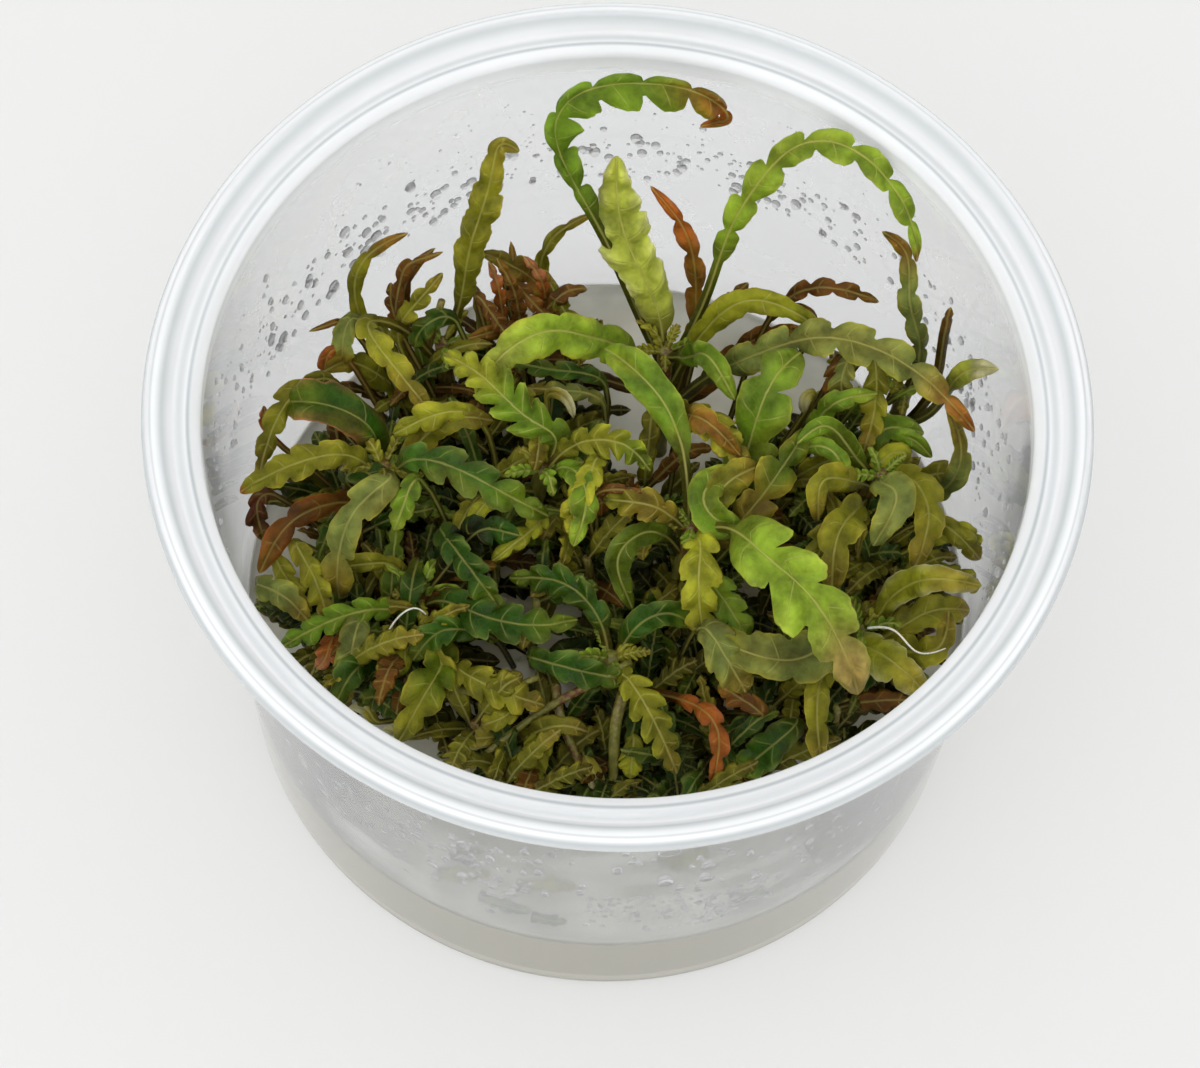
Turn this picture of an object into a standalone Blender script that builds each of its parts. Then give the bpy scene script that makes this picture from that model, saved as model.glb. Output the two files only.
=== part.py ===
"""Hygrophila plantlets in their culture cup.

A wide-rimmed clear cup holds a layer of nutrient gel.  Short stems stand in
the gel, and from them grow narrow leaves, lobed like feathers along both edges.

Every length is in millimetres until a mesh is written.  The cup stands on
z = 0 with its axis on Z, and its front is towards -Y.
"""

import bpy
import bmesh
import numpy as np

MM = 0.001

# Cup, driving sizes
RIM_RADIUS = 50.0
CUP_HEIGHT = 66.4
MOUTH_RADIUS = 43.9
MOUTH_HEIGHT = 64.2
FOOT_RADIUS = 42.4
WALL = 0.9
FLOOR_TOP = 2.0
FOOT_RECESS = 0.8
RIM_THICKNESS = 1.1
CUP_SEGMENTS = 60

# Gel
GEL_TOP = 16.5
GEL_CLEARANCE = 0.3
GEL_SEGMENTS = 48
WELL_CLEARANCE = 0.35

# Stems
STEM_RADIUS_FOOT = 1.3
STEM_RADIUS_CROWN = 0.95
STEM_SIDES = 8
STEM_RINGS = 7

# Leaves
STALK_HALF_WIDTH = 0.6
STALK_HALF_THICKNESS = 0.4
BLADE_HALF_THICKNESS = 0.32
BLADE_RISE = 0.8
BLADE_ROUNDNESS = 0.6
LOBE_ROUNDNESS = 0.7
BLADE_FOLD = 0.15
LEAF_GAP = 0.35
SHOOT_DEPTH = 0.4
LIGHT = np.array([0.0, -0.45, 0.89])

# Colours of the leaves, from young shoots to old ones
TONES = {
    "bright": (0.26, 0.36, 0.07),
    "yellow": (0.38, 0.41, 0.11),
    "olive": (0.16, 0.17, 0.04),
    "dark": (0.04, 0.08, 0.02),
    "brown": (0.20, 0.10, 0.03),
}

# Each stem's route from its foot in the gel to its crown
STEMS = {
    "stem_back": [(5, 19, 8), (5, 21, 20), (5, 24, 34)],
    "stem_back_left": [(-18, 20, 8), (-20, 22, 20), (-21, 24, 32)],
    "stem_back_brown": [(-6, 24, 8), (-6, 26, 17), (-5, 28, 27)],
    "stem_left": [(-24, 6, 8), (-26, 5, 22), (-26, 4, 39)],
    "stem_centre_left": [(-7, 7, 8), (-9, 6, 22), (-8, 5, 39)],
    "stem_centre": [(7, -3, 8), (8, -2, 22), (9, -1, 39)],
    "stem_right": [(25, 8, 8), (28, 9, 22), (30, 7, 39)],
    "stem_far_right": [(30, 18, 8), (32, 20, 20), (33, 21, 33)],
    "stem_right_front": [(26, -11, 8), (28, -10, 20), (29, -9, 32)],
    "stem_front": [(2, -13, 8), (1, -15, 20), (1, -15, 33)],
    "stem_front_left": [(-19, -10, 8), (-21, -9, 19), (-21, -8, 31)],
}


def leaf(stem, height, tone, half_widths, lobes, depth, route, stalk=0.18, roll=(0, 0)):
    """One leaf: its stem and how high it leaves it, its tone, its half widths (right, left),
    the lobes along each edge, how deep they are cut, and the route of its midrib.  The stalk
    is a share of the length, and roll turns the blade about the midrib, from foot to tip."""
    return dict(stem=stem, height=height, tone=tone, half_widths=half_widths, lobes=lobes,
                depth=depth, route=route, stalk=stalk, roll=roll)


# Leaves that stand on their own, by name
LEAVES = {
    "leaf_arch_back": leaf(
        "stem_back", 31, "olive", (3.0, 0.9), 6, 0.5, stalk=0.3,
        route=[(1, 28, 37), (-5, 31, 50), (-9, 35, 62), (-6, 37, 68), (1, 38, 69), (8, 38, 67),
               (11, 37, 62), (7, 38, 60)]),
    "leaf_upright_pale": leaf(
        "stem_back", 33, "yellow", (3.0, 3.1), 5, 0.2, stalk=0.08,
        route=[(4, 27, 36), (2, 29, 41), (-1, 32, 48), (-2, 36, 56)]),
    "leaf_arch_right": leaf(
        "stem_back", 29, "bright", (2.1, 1.9), 7, 0.45, stalk=0.28,
        route=[(9, 28, 38), (11, 31, 48), (14, 33, 57), (18, 35, 62), (23, 34, 64), (28, 31, 62),
               (31, 28, 58), (32, 26, 54)]),
    "leaf_arched_yellow": leaf(
        "stem_back", 26, "yellow", (1.6, 1.6), 4, 0.15,
        route=[(9, 25, 36), (14, 26, 43), (19, 25, 43), (23, 24, 40)]),
    "leaf_top_green": leaf(
        "stem_back", 33, "bright", (1.8, 1.7), 3, 0.12,
        route=[(8, 20, 40), (10, 17, 45), (13, 13, 43)]),
    "leaf_long_right": leaf(
        "stem_back", 23, "olive", (2.4, 2.2), 7, 0.5, stalk=0.22,
        route=[(10, 20, 35), (16, 20, 42), (22, 20, 46), (28, 18, 48), (34, 15, 47), (40, 11, 43)]),
    "leaf_bright_top": leaf(
        "stem_centre", 37, "bright", (2.5, 2.5), 2, 0.15, stalk=0.35,
        route=[(8, 4, 42), (6, 10, 44), (2, 14, 46), (-2, 18, 44)]),
    "leaf_brown_olive": leaf(
        "stem_back", 21, "brown", (2.2, 2.0), 4, 0.4, stalk=0.4,
        route=[(6, 16, 33), (7, 12, 41), (10, 9, 45), (14, 6, 43)]),
    "leaf_orange_tip": leaf(
        "stem_back", 18, "brown", (1.4, 1.5), 5, 0.5, stalk=0.25,
        route=[(8, 28, 27), (8, 32, 37), (6, 34, 45), (2, 36, 50)]),
    "leaf_green_curl": leaf(
        "stem_back", 26, "olive", (2.4, 3.0), 4, 0.3, stalk=0.22,
        route=[(0, 22, 37), (-4, 20, 43), (-9, 18, 47), (-14, 15, 45), (-16, 13, 40)]),
    "leaf_upright_left": leaf(
        "stem_back_left", 30, "olive", (1.7, 1.7), 5, 0.3,
        route=[(-19, 28, 36), (-18, 31, 43), (-16, 35, 51), (-15, 37, 55), (-13, 37, 54)]),
    "leaf_thin_left": leaf(
        "stem_back_left", 21, "olive", (1.0, 1.1), 3, 0.3, stalk=0.35,
        route=[(-27, 24, 27), (-31, 26, 36), (-30, 28, 43), (-25, 29, 48)]),
    "leaf_olive_left": leaf(
        "stem_back_left", 28, "olive", (1.7, 1.7), 4, 0.5, stalk=0.45,
        route=[(-26, 23, 37), (-29, 20, 42), (-26, 15, 43), (-21, 10, 41)]),
    "leaf_edge_left": leaf(
        "stem_back_left", 17, "olive", (1.9, 1.9), 3, 0.35,
        route=[(-26, 20, 27), (-31, 20, 33), (-34, 17, 36)]),
    "leaf_brown_back": leaf(
        "stem_back_brown", 25, "brown", (1.9, 1.9), 4, 0.5,
        route=[(-8, 30, 31), (-12, 31, 37), (-17, 31, 41)]),
    "leaf_brown_low": leaf(
        "stem_back_brown", 20, "brown", (1.7, 1.7), 4, 0.5,
        route=[(-9, 26, 28), (-13, 25, 34), (-18, 23, 35)]),
    "leaf_dark_round": leaf(
        "stem_left", 33, "dark", (3.0, 3.0), 2, 0.12, stalk=0.2, roll=(-15, -15),
        route=[(-28, 8, 40), (-33, 9, 43), (-38, 10, 41)]),
    "leaf_pale_olive": leaf(
        "stem_left", 36, "olive", (2.0, 2.0), 5, 0.35,
        route=[(-30, 3, 43), (-36, 0, 45), (-41, -3, 44)]),
    "leaf_red_brown": leaf(
        "stem_left", 27, "brown", (1.8, 1.8), 3, 0.4,
        route=[(-31, 1, 35), (-36, -3, 37), (-39, -8, 34)]),
    "leaf_grey_hanging": leaf(
        "stem_left", 38, "olive", (2.4, 2.4), 3, 0.45,
        route=[(-25, 0, 43), (-28, -3, 42), (-30, -7, 37), (-30, -9, 31)]),
    "leaf_blue_green": leaf(
        "stem_left", 35, "dark", (2.5, 2.5), 5, 0.5,
        route=[(-22, 3, 43), (-17, 1, 45), (-12, -1, 44), (-7, -2, 41)]),
    "leaf_pale_pinnate": leaf(
        "stem_centre_left", 37, "yellow", (2.8, 2.6), 5, 0.55,
        route=[(-8, 8, 43), (-11, 9, 45), (-15, 12, 45), (-20, 16, 44)]),
    "leaf_hook_green": leaf(
        "stem_centre_left", 36, "bright", (1.9, 1.7), 4, 0.4,
        route=[(-5, 3, 43), (-3, -1, 45), (-4, -5, 40)]),
    "leaf_green_olive": leaf(
        "stem_centre", 35, "olive", (2.3, 2.2), 2, 0.15,
        route=[(11, 1, 41), (13, 3, 43), (16, 5, 43)]),
    "leaf_olive_brown": leaf(
        "stem_centre", 31, "brown", (2.4, 2.4), 4, 0.5,
        route=[(14, 0, 38), (18, 4, 43), (21, 9, 45)]),
    "leaf_lobed_vertical": leaf(
        "stem_centre", 36, "olive", (2.6, 2.6), 4, 0.45,
        route=[(10, -5, 42), (10, -9, 42), (11, -13, 36)]),
    "leaf_hero": leaf(
        "stem_centre", 38, "bright", (5.3, 5.3), 4, 0.4, stalk=0.12,
        route=[(13, -3, 43), (17, -8, 48), (22, -13, 48), (26, -18, 45), (29, -22, 40)]),
    "leaf_under_hero": leaf(
        "stem_centre", 30, "dark", (2.1, 2.1), 5, 0.4,
        route=[(11, -6, 36), (14, -11, 38), (17, -14, 34)]),
    "leaf_grey_vertical": leaf(
        "stem_centre", 33, "olive", (1.7, 1.7), 3, 0.15,
        route=[(4, -3, 41), (1, -6, 41), (3, -10, 35)]),
    "leaf_broad_green": leaf(
        "stem_centre", 27, "bright", (3.4, 3.4), 3, 0.4, stalk=0.35,
        route=[(13, 4, 34), (15, 9, 41), (17, 14, 46), (20, 18, 46)]),
    "leaf_grey_round": leaf(
        "stem_right", 38, "olive", (2.2, 2.2), 2, 0.1,
        route=[(30, 3, 44), (31, 0, 47), (29, -4, 43)]),
    "leaf_olive_vertical": leaf(
        "stem_right", 33, "olive", (2.2, 2.2), 4, 0.3,
        route=[(33, 6, 40), (35, 1, 42), (34, -4, 38)]),
    "leaf_olive_mid": leaf(
        "stem_right", 31, "olive", (2.1, 2.1), 3, 0.3,
        route=[(27, 2, 39), (25, -3, 42), (25, -8, 38)]),
    "leaf_right_vertical": leaf(
        "stem_far_right", 31, "dark", (1.3, 1.5), 5, 0.4,
        route=[(34, 23, 40), (32, 25, 47), (31, 28, 52), (28, 29, 55)]),
    "leaf_small_right": leaf(
        "stem_far_right", 26, "bright", (1.4, 1.4), 2, 0.1, stalk=0.5,
        route=[(36, 18, 34), (38, 16, 47), (41, 12, 56)]),
    "leaf_twisted_right": leaf(
        "stem_far_right", 20, "dark", (1.4, 1.4), 3, 0.3, stalk=0.4,
        route=[(35, 13, 25), (38, 9, 33), (39, 11, 38), (37, 15, 41)]),
    "leaf_pale_right": leaf(
        "stem_right_front", 30, "olive", (1.9, 1.9), 3, 0.1,
        route=[(33, -7, 39), (37, -8, 44), (41, -8, 43)]),
    "leaf_low_right": leaf(
        "stem_right_front", 25, "olive", (1.9, 1.9), 4, 0.3,
        route=[(33, -12, 33), (37, -13, 37), (38, -9, 38)]),
    "leaf_yellow_right": leaf(
        "stem_right_front", 28, "yellow", (2.4, 2.4), 3, 0.25,
        route=[(30, -14, 37), (33, -17, 39), (36, -19, 37)]),
    "leaf_olive_hanging": leaf(
        "stem_right_front", 23, "olive", (1.8, 1.8), 3, 0.3, stalk=0.3,
        route=[(26, -14, 31), (24, -18, 36), (24, -22, 35), (25, -25, 30)]),
    "leaf_patterned": leaf(
        "stem_right_front", 26, "olive", (3.0, 2.8), 4, 0.35,
        route=[(25, -13, 36), (21, -17, 40), (16, -17, 41), (11, -14, 39)]),
    "leaf_yellow_lobed": leaf(
        "stem_front", 30, "yellow", (2.2, 2.2), 5, 0.55,
        route=[(3, -19, 36), (6, -24, 37), (9, -28, 32)]),
    "leaf_long_dark": leaf(
        "stem_front_left", 29, "dark", (2.4, 2.4), 5, 0.5,
        route=[(-18, -10, 34), (-13, -13, 37), (-7, -14, 38), (-3, -13, 38)]),
    "leaf_dark_upper": leaf(
        "stem_front_left", 30, "dark", (2.3, 2.3), 4, 0.35,
        route=[(-17, -5, 36), (-14, -4, 41), (-10, -5, 42)]),
    "leaf_bright_left": leaf(
        "stem_front_left", 27, "bright", (1.9, 1.9), 5, 0.5,
        route=[(-26, -11, 33), (-31, -13, 33), (-36, -15, 30)]),
    "leaf_front_olive": leaf(
        "stem_front_left", 24, "olive", (2.7, 2.7), 4, 0.35,
        route=[(-18, -15, 30), (-19, -21, 35), (-22, -26, 31)]),
    "leaf_front_dark": leaf(
        "stem_front_left", 21, "dark", (2.0, 2.0), 4, 0.3,
        route=[(-25, -14, 28), (-28, -19, 32), (-30, -23, 29)]),
}

# Small leaves that are one piece with the stem they grow from
SHOOTS = {
    "shoot_brown_erect": leaf(
        "stem_back_left", 25, "brown", (0.9, 0.9), 3, 0.3,
        route=[(-25, 26, 32), (-25, 28, 40), (-22, 29, 45)]),
    "shoot_dim_arc": leaf(
        "stem_back_brown", 22, "olive", (0.9, 0.9), 4, 0.4,
        route=[(-10, 34, 28), (-9, 37, 35), (-4, 38, 40)]),
    "shoot_brown_right": leaf(
        "stem_back", 21, "brown", (1.5, 1.5), 4, 0.4,
        route=[(11, 24, 28), (16, 27, 33), (22, 27, 35)]),
    "shoot_olive_small": leaf(
        "stem_left", 31, "olive", (1.8, 1.8), 3, 0.2,
        route=[(-22, 8, 38), (-18, 9, 42), (-14, 10, 40)]),
    "shoot_yellow_curl": leaf(
        "stem_centre_left", 33, "yellow", (1.1, 1.1), 3, 0.3,
        route=[(-12, 2, 38), (-15, -2, 40), (-16, -5, 35)]),
    "shoot_feather_left": leaf(
        "stem_centre_left", 30, "yellow", (1.5, 1.5), 5, 0.6,
        route=[(-8, 0, 36), (-10, -4, 39), (-13, -6, 37)]),
    "shoot_feather_top": leaf(
        "stem_centre_left", 38, "yellow", (2.0, 2.0), 6, 0.6,
        route=[(-4, 6, 44), (1, 5, 46), (4, 3, 44)]),
    "shoot_yellow_olive": leaf(
        "stem_centre", 38, "yellow", (1.8, 1.8), 4, 0.4,
        route=[(5, -1, 43), (2, -1, 44), (-1, 0, 42)]),
    "shoot_bright_small": leaf(
        "stem_right", 37, "bright", (1.3, 1.3), 2, 0.2,
        route=[(26, 8, 43), (23, 9, 46), (20, 7, 45)]),
    "shoot_small_down": leaf(
        "stem_right", 35, "olive", (1.6, 1.6), 2, 0.2,
        route=[(26, 5, 41), (23, 3, 44), (23, 0, 40)]),
    "shoot_dark_right": leaf(
        "stem_right", 28, "dark", (1.6, 1.6), 2, 0.15,
        route=[(30, 12, 34), (33, 13, 37), (36, 11, 36)]),
    "shoot_twig": leaf(
        "stem_far_right", 24, "brown", (0.5, 0.5), 1, 0.0, stalk=0.9,
        route=[(36, 20, 36), (36, 21, 45), (36, 21, 53)]),
    "shoot_striped": leaf(
        "stem_front", 31, "dark", (1.8, 1.8), 3, 0.15,
        route=[(4, -12, 36), (7, -11, 37), (10, -11, 34)]),
    "shoot_dark_mid": leaf(
        "stem_front", 32, "dark", (2.0, 2.0), 5, 0.45,
        route=[(-1, -11, 36), (-5, -8, 37), (-11, -7, 35)]),
    "shoot_red": leaf(
        "stem_front", 24, "brown", (1.3, 1.3), 4, 0.5, stalk=0.4,
        route=[(8, -18, 30), (13, -23, 34), (13, -28, 29)]),
    "shoot_leaflets": leaf(
        "stem_front_left", 28, "olive", (1.3, 1.3), 3, 0.4,
        route=[(-24, -5, 32), (-28, -6, 34), (-33, -6, 32)]),
}


def clear_scene():
    """Start from an empty scene."""
    for item in list(bpy.data.objects):
        bpy.data.objects.remove(item, do_unlink=True)


def plastic(name, colour, roughness, transmission=0.0, ior=1.5):
    """A Principled material with the part's colour, gloss and clearness."""
    made = bpy.data.materials.new(name)
    made.use_nodes = True
    shader = made.node_tree.nodes["Principled BSDF"]
    shader.inputs["Base Color"].default_value = (*colour, 1.0)
    shader.inputs["Roughness"].default_value = roughness
    shader.inputs["Metallic"].default_value = 0.0
    shader.inputs["Transmission Weight"].default_value = transmission
    shader.inputs["IOR"].default_value = ior
    return made


def smooth_route(points, samples_a_span=16):
    """The natural cubic spline through the points, with the distance run at each sample."""
    points = np.array(points, float)
    spans = len(points) - 1
    knots = np.concatenate([[0.0], np.cumsum(np.sqrt(np.linalg.norm(np.diff(points, axis=0), axis=1)))])
    gap = np.diff(knots)
    system = np.eye(spans + 1)
    load = np.zeros((spans + 1, 3))
    for i in range(1, spans):
        system[i, i - 1:i + 2] = gap[i - 1], 2 * (gap[i - 1] + gap[i]), gap[i]
        load[i] = 6 * ((points[i + 1] - points[i]) / gap[i] - (points[i] - points[i - 1]) / gap[i - 1])
    bend = np.linalg.solve(system, load)
    place = np.linspace(0.0, knots[-1], samples_a_span * spans + 1)
    span = np.clip(np.searchsorted(knots, place, side="right") - 1, 0, spans - 1)
    after = (place - knots[span])[:, None]
    before = (knots[span + 1] - place)[:, None]
    width = gap[span][:, None]
    curve = (bend[span] * before ** 3 + bend[span + 1] * after ** 3) / (6 * width)
    curve += (points[span] / width - bend[span] * width / 6) * before
    curve += (points[span + 1] / width - bend[span + 1] * width / 6) * after
    run = np.concatenate([[0.0], np.cumsum(np.linalg.norm(np.diff(curve, axis=0), axis=1))])
    return curve, run


def at(route, share):
    """Points at the given shares, from 0 to 1, of a route's length."""
    curve, run = route
    distance = np.clip(share, 0.0, 1.0) * run[-1]
    return np.stack([np.interp(distance, run, curve[:, axis]) for axis in range(3)], axis=-1)


def heading(route, share, reach=0.02):
    """Unit directions of a route at the given shares of its length."""
    step = at(route, share + reach) - at(route, share - reach)
    return step / np.linalg.norm(step, axis=-1, keepdims=True)


def skin(name, rings, material, tip=False):
    """A closed object over rings of points.  The last ring shrinks to one point if tip is true."""
    mesh = bmesh.new()
    rows = [[mesh.verts.new(point * MM) for point in ring] for ring in rings]
    if tip:
        rows[-1] = [mesh.verts.new(np.mean(rings[-1], axis=0) * MM)]
        for spare in mesh.verts[(len(rings) - 1) * len(rings[0]):-1]:
            mesh.verts.remove(spare)
        mesh.verts.ensure_lookup_table()
    count = len(rings[0])
    for lower, upper in zip(rows[:-1], rows[1:]):
        for i in range(count):
            j = (i + 1) % count
            if len(upper) == 1:
                mesh.faces.new((lower[i], lower[j], upper[0]))
            else:
                mesh.faces.new((lower[i], lower[j], upper[j], upper[i]))
    mesh.faces.new(rows[0])
    if not tip:
        mesh.faces.new(rows[-1])
    bmesh.ops.triangulate(mesh, faces=mesh.faces[:])
    bmesh.ops.recalc_face_normals(mesh, faces=mesh.faces[:])
    data = bpy.data.meshes.new(name)
    mesh.to_mesh(data)
    mesh.free()
    data.shade_smooth()
    data.materials.append(material)
    made = bpy.data.objects.new(name, data)
    bpy.context.scene.collection.objects.link(made)
    return made


def hide_helper(item):
    """A shape that only cuts or joins others isn't part of the model."""
    item.hide_render = True
    item.display_type = "WIRE"


def boolean(target, helper, operation):
    """Cut a helper out of an object, or join it on."""
    hide_helper(helper)
    modifier = target.modifiers.new(helper.name, "BOOLEAN")
    modifier.operation = operation
    modifier.solver = "EXACT"
    modifier.object = helper


def wall_radius(height):
    """The cup's inner radius, which widens evenly from the floor to the mouth."""
    foot = FOOT_RADIUS - WALL
    return foot + (MOUTH_RADIUS - foot) * (height - FLOOR_TOP) / (MOUTH_HEIGHT - FLOOR_TOP)


def turned(name, profile, segments, material):
    """A solid turned about Z from a profile of radius and height that starts and ends on the axis."""
    mesh = bmesh.new()
    line = [mesh.verts.new((radius * MM, 0.0, height * MM)) for radius, height in profile]
    edges = [mesh.edges.new(pair) for pair in zip(line[:-1], line[1:])]
    bmesh.ops.spin(mesh, geom=line + edges, cent=(0, 0, 0), axis=(0, 0, 1), angle=2 * np.pi,
                   steps=segments, use_merge=True, use_duplicate=False)
    bmesh.ops.remove_doubles(mesh, verts=mesh.verts[:], dist=0.000001)
    bmesh.ops.recalc_face_normals(mesh, faces=mesh.faces[:])
    data = bpy.data.meshes.new(name)
    mesh.to_mesh(data)
    mesh.free()
    data.shade_smooth()
    data.set_sharp_from_angle(angle=np.radians(40))
    data.materials.append(material)
    made = bpy.data.objects.new(name, data)
    bpy.context.scene.collection.objects.link(made)
    return made


def make_cup():
    """The cup: a ring foot, a wall that leans out a little, and a rim of two rounded beads."""
    outside = [
        (0.0, FOOT_RECESS),
        (FOOT_RADIUS - 3.6, FOOT_RECESS),
        (FOOT_RADIUS - 2.9, 0.0),
        (FOOT_RADIUS - 1.0, 0.0),
        (FOOT_RADIUS, 1.2),
        (MOUTH_RADIUS + WALL - 0.1, MOUTH_HEIGHT - 2.4),
        (MOUTH_RADIUS + WALL + 0.5, MOUTH_HEIGHT - 0.9),
        (RIM_RADIUS - 3.1, CUP_HEIGHT - 3.2),
        (RIM_RADIUS - 1.9, CUP_HEIGHT - RIM_THICKNESS - 0.1),
        (RIM_RADIUS - 0.9, CUP_HEIGHT - RIM_THICKNESS - 0.2),
        (RIM_RADIUS - 0.7, CUP_HEIGHT - 1.9),
        (RIM_RADIUS, CUP_HEIGHT - 1.8),
    ]
    inside = [
        (RIM_RADIUS, CUP_HEIGHT - 0.7),
        (RIM_RADIUS - 0.6, CUP_HEIGHT),
        (RIM_RADIUS - 1.9, CUP_HEIGHT),
        (RIM_RADIUS - 3.3, CUP_HEIGHT - 2.0),
        (MOUTH_RADIUS + 1.3, MOUTH_HEIGHT + 0.7),
        (MOUTH_RADIUS, MOUTH_HEIGHT),
        (wall_radius(FLOOR_TOP + 1.3), FLOOR_TOP + 1.3),
        (wall_radius(FLOOR_TOP) - 1.0, FLOOR_TOP),
        (0.0, FLOOR_TOP),
    ]
    clear_plastic = plastic("clear_polypropylene", (0.93, 0.95, 0.96), 0.3, 0.9, 1.49)
    return turned("cup", outside + inside, CUP_SEGMENTS, clear_plastic)


def stem_ring(centre, radius):
    """A level ring of points round a point of a stem's axis."""
    turn = np.linspace(0.0, 2 * np.pi, STEM_SIDES, endpoint=False)
    ring = np.stack([np.cos(turn), np.sin(turn), np.zeros(STEM_SIDES)], axis=-1)
    return centre + radius * ring


def stem_route(name):
    """The smooth axis of a stem."""
    return smooth_route(STEMS[name])


def stem_radius(share):
    """A stem tapers from its foot to its crown."""
    return STEM_RADIUS_FOOT + (STEM_RADIUS_CROWN - STEM_RADIUS_FOOT) * share


def make_stem(name, material):
    """A stem as a tapering tube along its route."""
    route = stem_route(name)
    shares = np.linspace(0.0, 1.0, STEM_RINGS)
    rings = [stem_ring(at(route, share), stem_radius(share)) for share in shares]
    return skin(name, rings, material)


def make_gel():
    """The gel: a low disc that fits the cup, with a well for each stem's foot."""
    floor = FLOOR_TOP + GEL_CLEARANCE
    low_radius = wall_radius(FLOOR_TOP) - 1.0 - GEL_CLEARANCE
    profile = [
        (0.0, floor),
        (low_radius, floor),
        (wall_radius(floor + 1.3) - GEL_CLEARANCE, floor + 1.3),
        (wall_radius(GEL_TOP) - GEL_CLEARANCE, GEL_TOP),
        (0.0, GEL_TOP),
    ]
    agar = plastic("agar_gel", (0.86, 0.85, 0.74), 0.15, 0.8, 1.34)
    gel = turned("gel", profile, GEL_SEGMENTS, agar)
    for name in STEMS:
        route = stem_route(name)
        curve = route[0]
        low = curve[0] - [0.0, 0.0, GEL_CLEARANCE]
        high = curve[np.searchsorted(curve[:, 2], GEL_TOP + 2.0)]
        radius = STEM_RADIUS_FOOT + WELL_CLEARANCE
        well = skin("well_of_" + name, [stem_ring(low, radius), stem_ring(high, radius)], agar)
        boolean(gel, well, "DIFFERENCE")
    return gel


def half_width(widest, lobes, depth, share):
    """Half the blade's width: a rounded envelope that is cut in between rounded lobes."""
    envelope = np.sin(np.pi * share ** BLADE_RISE) ** BLADE_ROUNDNESS
    lobe = np.abs(np.sin(np.pi * lobes * share)) ** LOBE_ROUNDNESS
    return widest * envelope * (1.0 - depth + depth * lobe)


def make_leaf(name, shape, material, joined=False):
    """A leaf as a thin closed solid: a stalk, then a blade with a ring at each lobe and each notch.
    It stops just short of its stem, or starts inside it where the two are joined."""
    stem = stem_route(shape["stem"])
    height = np.interp(shape["height"], stem[0][:, 2], stem[1] / stem[1][-1])
    root = at(stem, height)
    outward = np.array(shape["route"][0], float) - root
    outward[2] = 0.0
    outward /= np.linalg.norm(outward)
    offset = stem_radius(height) + (-SHOOT_DEPTH if joined else STALK_HALF_WIDTH + LEAF_GAP)
    route = smooth_route([root + outward * offset] + shape["route"])
    stalk = shape["stalk"]
    stalk_shares = np.linspace(0.0, stalk, 3)
    blade = np.arange(1, 2 * shape["lobes"]) / (2 * shape["lobes"])
    shares = np.concatenate([stalk_shares, stalk + (1 - stalk) * blade, [1.0]])
    along = heading(route, shares)
    across = np.cross(along, LIGHT)
    across /= np.linalg.norm(across, axis=-1, keepdims=True)
    facing = np.cross(across, along)
    roll = np.radians(np.interp(shares, [0, 1], shape["roll"]))[:, None]
    across, facing = (across * np.cos(roll) + facing * np.sin(roll),
                      facing * np.cos(roll) - across * np.sin(roll))
    midrib = at(route, shares)
    grown = np.clip((shares - stalk) / (1 - stalk), 0.0, 1.0)
    sides = []
    for widest in shape["half_widths"]:
        reach = np.maximum(half_width(widest, shape["lobes"], shape["depth"], grown), STALK_HALF_WIDTH)
        sides.append(reach[:, None])
    thick = np.where(grown > 0, BLADE_HALF_THICKNESS, STALK_HALF_THICKNESS)[:, None]
    right = midrib + across * sides[0] + facing * BLADE_FOLD * (sides[0] - STALK_HALF_WIDTH)
    left = midrib - across * sides[1] + facing * BLADE_FOLD * (sides[1] - STALK_HALF_WIDTH)
    rings = np.stack([right, midrib + facing * thick, left, midrib - facing * thick], axis=1)
    return skin(name, rings, material, tip=True)


def main():
    clear_scene()
    make_cup()
    make_gel()
    stem_green = plastic("stem_green", (0.16, 0.14, 0.05), 0.45)
    blades = {tone: plastic("leaf_" + tone, colour, 0.35) for tone, colour in TONES.items()}
    stems = {name: make_stem(name, stem_green) for name in STEMS}
    for name, shape in LEAVES.items():
        make_leaf(name, shape, blades[shape["tone"]])
    for name, shape in SHOOTS.items():
        shoot = make_leaf(name, shape, blades[shape["tone"]], joined=True)
        boolean(stems[shape["stem"]], shoot, "UNION")


main()
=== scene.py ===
"""Hygrophila plantlets in a culture cup: the finish of every surface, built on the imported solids.

The cup stands on z = 0 with its axis on Z, and its front is towards -Y.  Tables and
shapes are in millimetres, and every mesh is written in metres.
"""

import bpy
import numpy as np
from mathutils import Matrix, Vector


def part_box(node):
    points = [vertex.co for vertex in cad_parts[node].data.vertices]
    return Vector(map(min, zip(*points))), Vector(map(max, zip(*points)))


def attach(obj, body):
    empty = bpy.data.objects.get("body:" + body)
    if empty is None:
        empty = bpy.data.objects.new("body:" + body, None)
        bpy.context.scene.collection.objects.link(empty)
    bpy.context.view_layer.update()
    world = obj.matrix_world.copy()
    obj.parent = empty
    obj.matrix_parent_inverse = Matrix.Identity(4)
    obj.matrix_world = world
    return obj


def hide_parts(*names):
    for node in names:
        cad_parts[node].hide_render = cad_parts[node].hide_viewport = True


MM = 0.001
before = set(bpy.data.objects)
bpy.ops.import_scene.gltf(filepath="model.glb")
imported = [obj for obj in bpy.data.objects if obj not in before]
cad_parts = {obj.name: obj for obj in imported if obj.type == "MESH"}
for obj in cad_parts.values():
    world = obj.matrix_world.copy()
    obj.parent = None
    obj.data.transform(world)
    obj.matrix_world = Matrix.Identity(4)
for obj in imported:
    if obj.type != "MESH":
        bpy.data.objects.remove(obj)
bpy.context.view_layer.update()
CUP_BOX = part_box("cup")

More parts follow.
